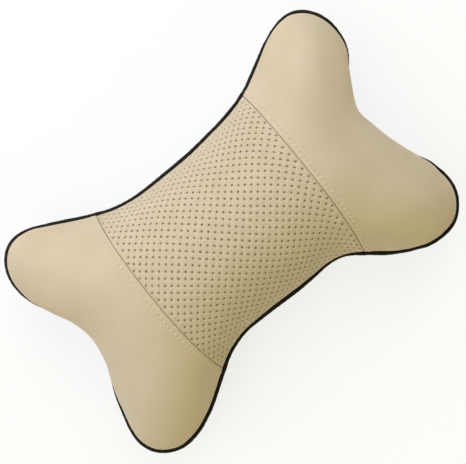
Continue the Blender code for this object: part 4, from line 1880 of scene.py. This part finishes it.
@dataclass
class BackPanel:
    """The fabric back, one piece from end to end."""

    wall: float = 0.001
    columns: int = 170
    rows: int = 120
    gathers: Gathers = Gathers(0.0003, 0.012, 0.008, Pattern.BACK_GATHERS, 0.003)
    sag: float = 0.0014
    sag_aside: tuple[float, float] = (0.0005, 0.006)
    sag_below: tuple[float, float] = (0.030, 0.0355)

    def build(self, cover: Cover, strap: "HeadrestStrap", name: str) -> bpy.types.Object:
        """Makes the back, which sags towards the ground beside the strap.

        Args:
            cover: The smooth cover.
            strap: The strap under it.
            name: The piece's name.

        Returns:
            The back.
        """
        u = (1 - np.cos(np.linspace(0, math.pi, self.columns + 1))) / 2 * (cover.back.count_u - 1)
        v = np.linspace(0, cover.rows, self.rows + 1)
        place, normal = cover.back.at(u[:, None], v[None, :])
        below = cover.seam_height - place[..., 2]
        aside = np.abs(place[..., 1] - strap.middle(cover)) - strap.width / 2
        free = smooth_step(*self.sag_aside, aside) * smooth_step(*self.sag_below, below)
        outer = place + normal * self.gathers.at(place, below)[..., None]
        outer[..., 2] -= free * self.sag
        return closed_shell(name, outer, outer - normal * self.wall)


@dataclass
class HeadrestStrap:
    """The elastic strap, flat under the back from notch to notch."""

    width: float = 0.025
    cut_length: float = 0.26
    thickness: float = 0.0015
    gap: float = 0.0003
    ribs: int = 13
    rib_height: float = 0.00012
    lengthwise: int = 260
    crosswise: int = 104
    end_inset: float = 0.35
    selvedge: tuple[float, float] = (0.95, 1.0)
    selvedge_thinning: float = 0.0004
    near_share: float = 0.5

    @staticmethod
    def middle(cover: Cover) -> float:
        """Height y of the strap's middle line."""
        return float(cover.middle[1] + np.mean(cover.edge.notch_rise))

    def path(self, cover: Cover, u: np.ndarray, y: np.ndarray) -> tuple[np.ndarray, np.ndarray]:
        """Points and normals of the back at columns u, where it lies at heights y.

        Args:
            cover: The smooth cover.
            u: Columns of the back.
            y: Heights in plan.

        Returns:
            Points and unit normals, one for each pair of u and y.
        """
        rows = np.linspace(0, cover.rows, 8 * cover.rows + 1)
        place, _ = cover.back.at(u[:, None], rows[None, :])
        found = np.stack([np.interp(y, place[k, :, 1], rows) for k in range(len(u))])
        return cover.back.at(u[:, None], found)

    def build(self, cover: Cover, name: str) -> bpy.types.Object:
        """Makes the strap with its lengthwise ribs.

        Args:
            cover: The smooth cover.
            name: The piece's name.

        Returns:
            The strap.
        """
        last = cover.back.count_u - 1
        u = self.end_inset + (last - 2 * self.end_inset) * np.linspace(0, 1, self.lengthwise + 1)
        across = np.linspace(-1, 1, self.crosswise + 1)
        y = self.middle(cover) + across * self.width / 2
        place, normal = self.path(cover, u, y)
        ribs = (1 + np.cos(across * math.pi * self.ribs)) / 2 * self.rib_height
        worn = self.selvedge_thinning * smooth_step(*self.selvedge, np.abs(across))
        thinned = (ribs - self.rib_height - worn)[None, :, None]
        near = place + normal * (self.gap - thinned * self.near_share)
        far = place + normal * (self.gap + self.thickness + thinned)
        far[..., 2] = np.maximum(far[..., 2], 0)
        return closed_shell(name, far, near)


@dataclass
class Stuffing:
    """Loose fibre that fills the cover, a little inside it."""

    face_inset: float = 0.0042
    back_inset: float = 0.0016
    tuft: float = 0.0006
    tuft_length: float = 0.018
    step: int = 2

    def build(self, cover: Cover, name: str) -> bpy.types.Object:
        """Makes the stuffing as one closed, slightly uneven body.

        Args:
            cover: The smooth cover.
            name: The piece's name.

        Returns:
            The stuffing.
        """
        u = np.arange(1.5, cover.face.count_u - 2, self.step, dtype=float)
        v = np.arange(2, cover.rows - 1, self.step, dtype=float)
        sides = []
        for surface, inset in ((cover.face, self.face_inset), (cover.back, self.back_inset)):
            place, normal = surface.at(u[:, None], v[None, :])
            tufts = ripple(place, self.tuft_length, Pattern.TUFTS)[..., None]
            sides.append(place - normal * (inset + self.tuft * (1 + tufts)))
        return closed_shell(name, *sides, flip_first=False)


@dataclass
class Studio:
    """Pale floor, soft light and the camera."""

    picture: tuple[int, int] = (466, 464)
    pixel: float = 0.0006467
    roll: float = math.radians(39.16)
    distance: float = 0.85
    sensor: float = 36.0
    middle: tuple[float, float] = (235.0, 232.5)
    ambient: float = 0.03
    floor_size: float = 8.0
    floor_grey: float = 0.92
    floor_glow: float = 0.80
    floor_drop: float = 0.0002
    lamp_distance: float = 1.9
    lamp_size: float = 1.2
    lamp_aim: float = 0.04
    white: tuple[float, float, float] = (1.0, 1.0, 1.0)
    warm: tuple[float, float, float] = (1.0, 0.84, 0.12)

    def camera(self, seam_height: float) -> None:
        """Looks straight down, turned so that the pillow lies as it does in the picture.

        Args:
            seam_height: Height of the piped seam, at which the picture is to scale.
        """
        data = bpy.data.cameras.new("camera")
        data.sensor_width = self.sensor
        data.lens = self.sensor * self.distance / (self.picture[0] * self.pixel)
        right = Vector((math.cos(self.roll), -math.sin(self.roll), 0))
        up = Vector((math.sin(self.roll), math.cos(self.roll), 0))
        off_right = (self.middle[0] - self.picture[0] / 2) * self.pixel
        off_up = (self.picture[1] / 2 - self.middle[1]) * self.pixel
        spot = -right * off_right - up * off_up
        spot.z = seam_height + self.distance
        turned = Matrix((right, up, Vector((0, 0, 1)))).transposed().to_4x4()
        camera = place_object("camera", data)
        camera.matrix_world = Matrix.Translation(spot) @ turned
        bpy.context.scene.camera = camera

    def lamp(
        self, name: str, azimuth: float, elevation: float, power: float, colour: tuple
    ) -> None:
        """Adds a square soft lamp that faces the pillow.

        Args:
            name: The lamp's name.
            azimuth: Where it stands, in degrees from +X towards +Y.
            elevation: How high it stands, in degrees above the floor.
            power: Its power in watts.
            colour: The colour of its light.
        """
        data = bpy.data.lights.new(name, "AREA")
        data.shape = "SQUARE"
        data.size = self.lamp_size
        data.energy = power
        data.color = colour
        lamp = place_object(name, data)
        turn, lift = math.radians(azimuth), math.radians(elevation)
        level = math.cos(lift)
        towards = Vector((level * math.cos(turn), level * math.sin(turn), math.sin(lift)))
        lamp.location = towards * self.lamp_distance
        aim = Vector((0, 0, self.lamp_aim)) - lamp.location
        lamp.rotation_euler = aim.to_track_quat("-Z", "Y").to_euler()

    def floor(self) -> None:
        """Lays a pale floor that shows the pillow's shadow but otherwise looks white."""
        bm = bmesh.new()
        bmesh.ops.create_grid(bm, x_segments=1, y_segments=1, size=self.floor_size / 2)
        bmesh.ops.translate(bm, verts=bm.verts, vec=(0, 0, -self.floor_drop))
        floor = new_object("floor", bm)
        kit = NodeKit("floor_white")
        grey = self.floor_grey
        kit.set(Base_Color=(grey, grey, grey, 1), Roughness=0.9, Specular_IOR_Level=0.0)
        glow = kit.add("Emission", Color=(*self.white, 1), Strength=1)
        rays = kit.add("LightPath").outputs
        direct = kit.calculate("MAXIMUM", rays["Is Camera Ray"], rays["Is Glossy Ray"])
        seen = kit.calculate("MAXIMUM", direct, rays["Is Transmission Ray"])
        both = kit.add("MixShader", Fac=kit.calculate("MULTIPLY", seen, self.floor_glow))
        kit.join(kit.shader.outputs["BSDF"], both.inputs[1])
        kit.join(glow.outputs["Emission"], both.inputs[2])
        kit.join(both.outputs["Shader"], kit.tree.nodes["Material Output"].inputs["Surface"])
        floor.data.materials.append(kit.material)

    def world(self) -> None:
        """Even white light from all round, which looks white where the camera sees it."""
        world = bpy.data.worlds.new("studio")
        world.use_nodes = True
        nodes, links = world.node_tree.nodes, world.node_tree.links
        background = nodes["Background"]
        background.inputs["Color"].default_value = (*self.white, 1)
        seen = nodes.new("ShaderNodeLightPath")
        strength = nodes.new("ShaderNodeMix")
        strength.inputs[2].default_value = self.ambient
        strength.inputs[3].default_value = 1.0
        links.new(seen.outputs["Is Camera Ray"], strength.inputs[0])
        links.new(strength.outputs[0], background.inputs["Strength"])
        bpy.context.scene.world = world

    def build(self, seam_height: float) -> None:
        """Sets up the whole studio.

        Args:
            seam_height: Height of the piped seam.
        """
        self.camera(seam_height)
        self.floor()
        self.world()
        self.lamp("key_right", 45, 32, 14.6, self.white)
        self.lamp("key_left", 135, 32, 15.2, self.white)
        self.lamp("high_right", 60, 60, 13.0, self.white)
        self.lamp("high_left", 180, 60, 11.3, self.white)
        self.lamp("warm_fill", 270, 32, 10.2, self.warm)
        bpy.context.scene.view_settings.view_transform = "Standard"


def main() -> None:
    """Builds the pillow piece by piece, and the studio round it."""
    logging.basicConfig(level=logging.INFO, format="%(message)s")
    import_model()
    cover = Cover()
    leather = LeatherFinish().build()
    perforated = LeatherFinish(name="perforated_beige_leather", speckle=0.4).build()
    foam = FoamFinish().build()
    thread = ThreadFinish().build()
    for side in Side:
        end = side.name.lower()
        stitch = TopStitch(side)
        panel = EndPanel(side, stitch)
        piece = dress(
            panel.build(cover, f"end_panel_{end}"),
            f"front_end_panel_{end}",
            [leather],
        )
        dress(
            stitch.build(cover, panel.seam, f"stitches_{end}"),
            f"topstitch_{end}",
            [thread],
        )
    centre = dress(
        CentrePanel().build(cover, "perforated_panel"),
        "front_centre_panel",
        [perforated, foam],
    )
    dress(Piping().build(cover, "piping"), "piping_cord", [PipingFinish().build()])
    strap = HeadrestStrap()
    back = dress(
        BackPanel().build(cover, strap, "fabric_back"),
        "back_panel",
        [KnitFinish().build()],
    )
    band = dress(
        strap.build(cover, "strap"), "headrest_strap", [ElasticFinish().build()]
    )
    stuffing = dress(
        Stuffing().build(cover, "stuffing"), "filling", [FibreFinish().build()]
    )
    Studio().build(cover.seam_height)


if __name__ == "__main__":
    main()
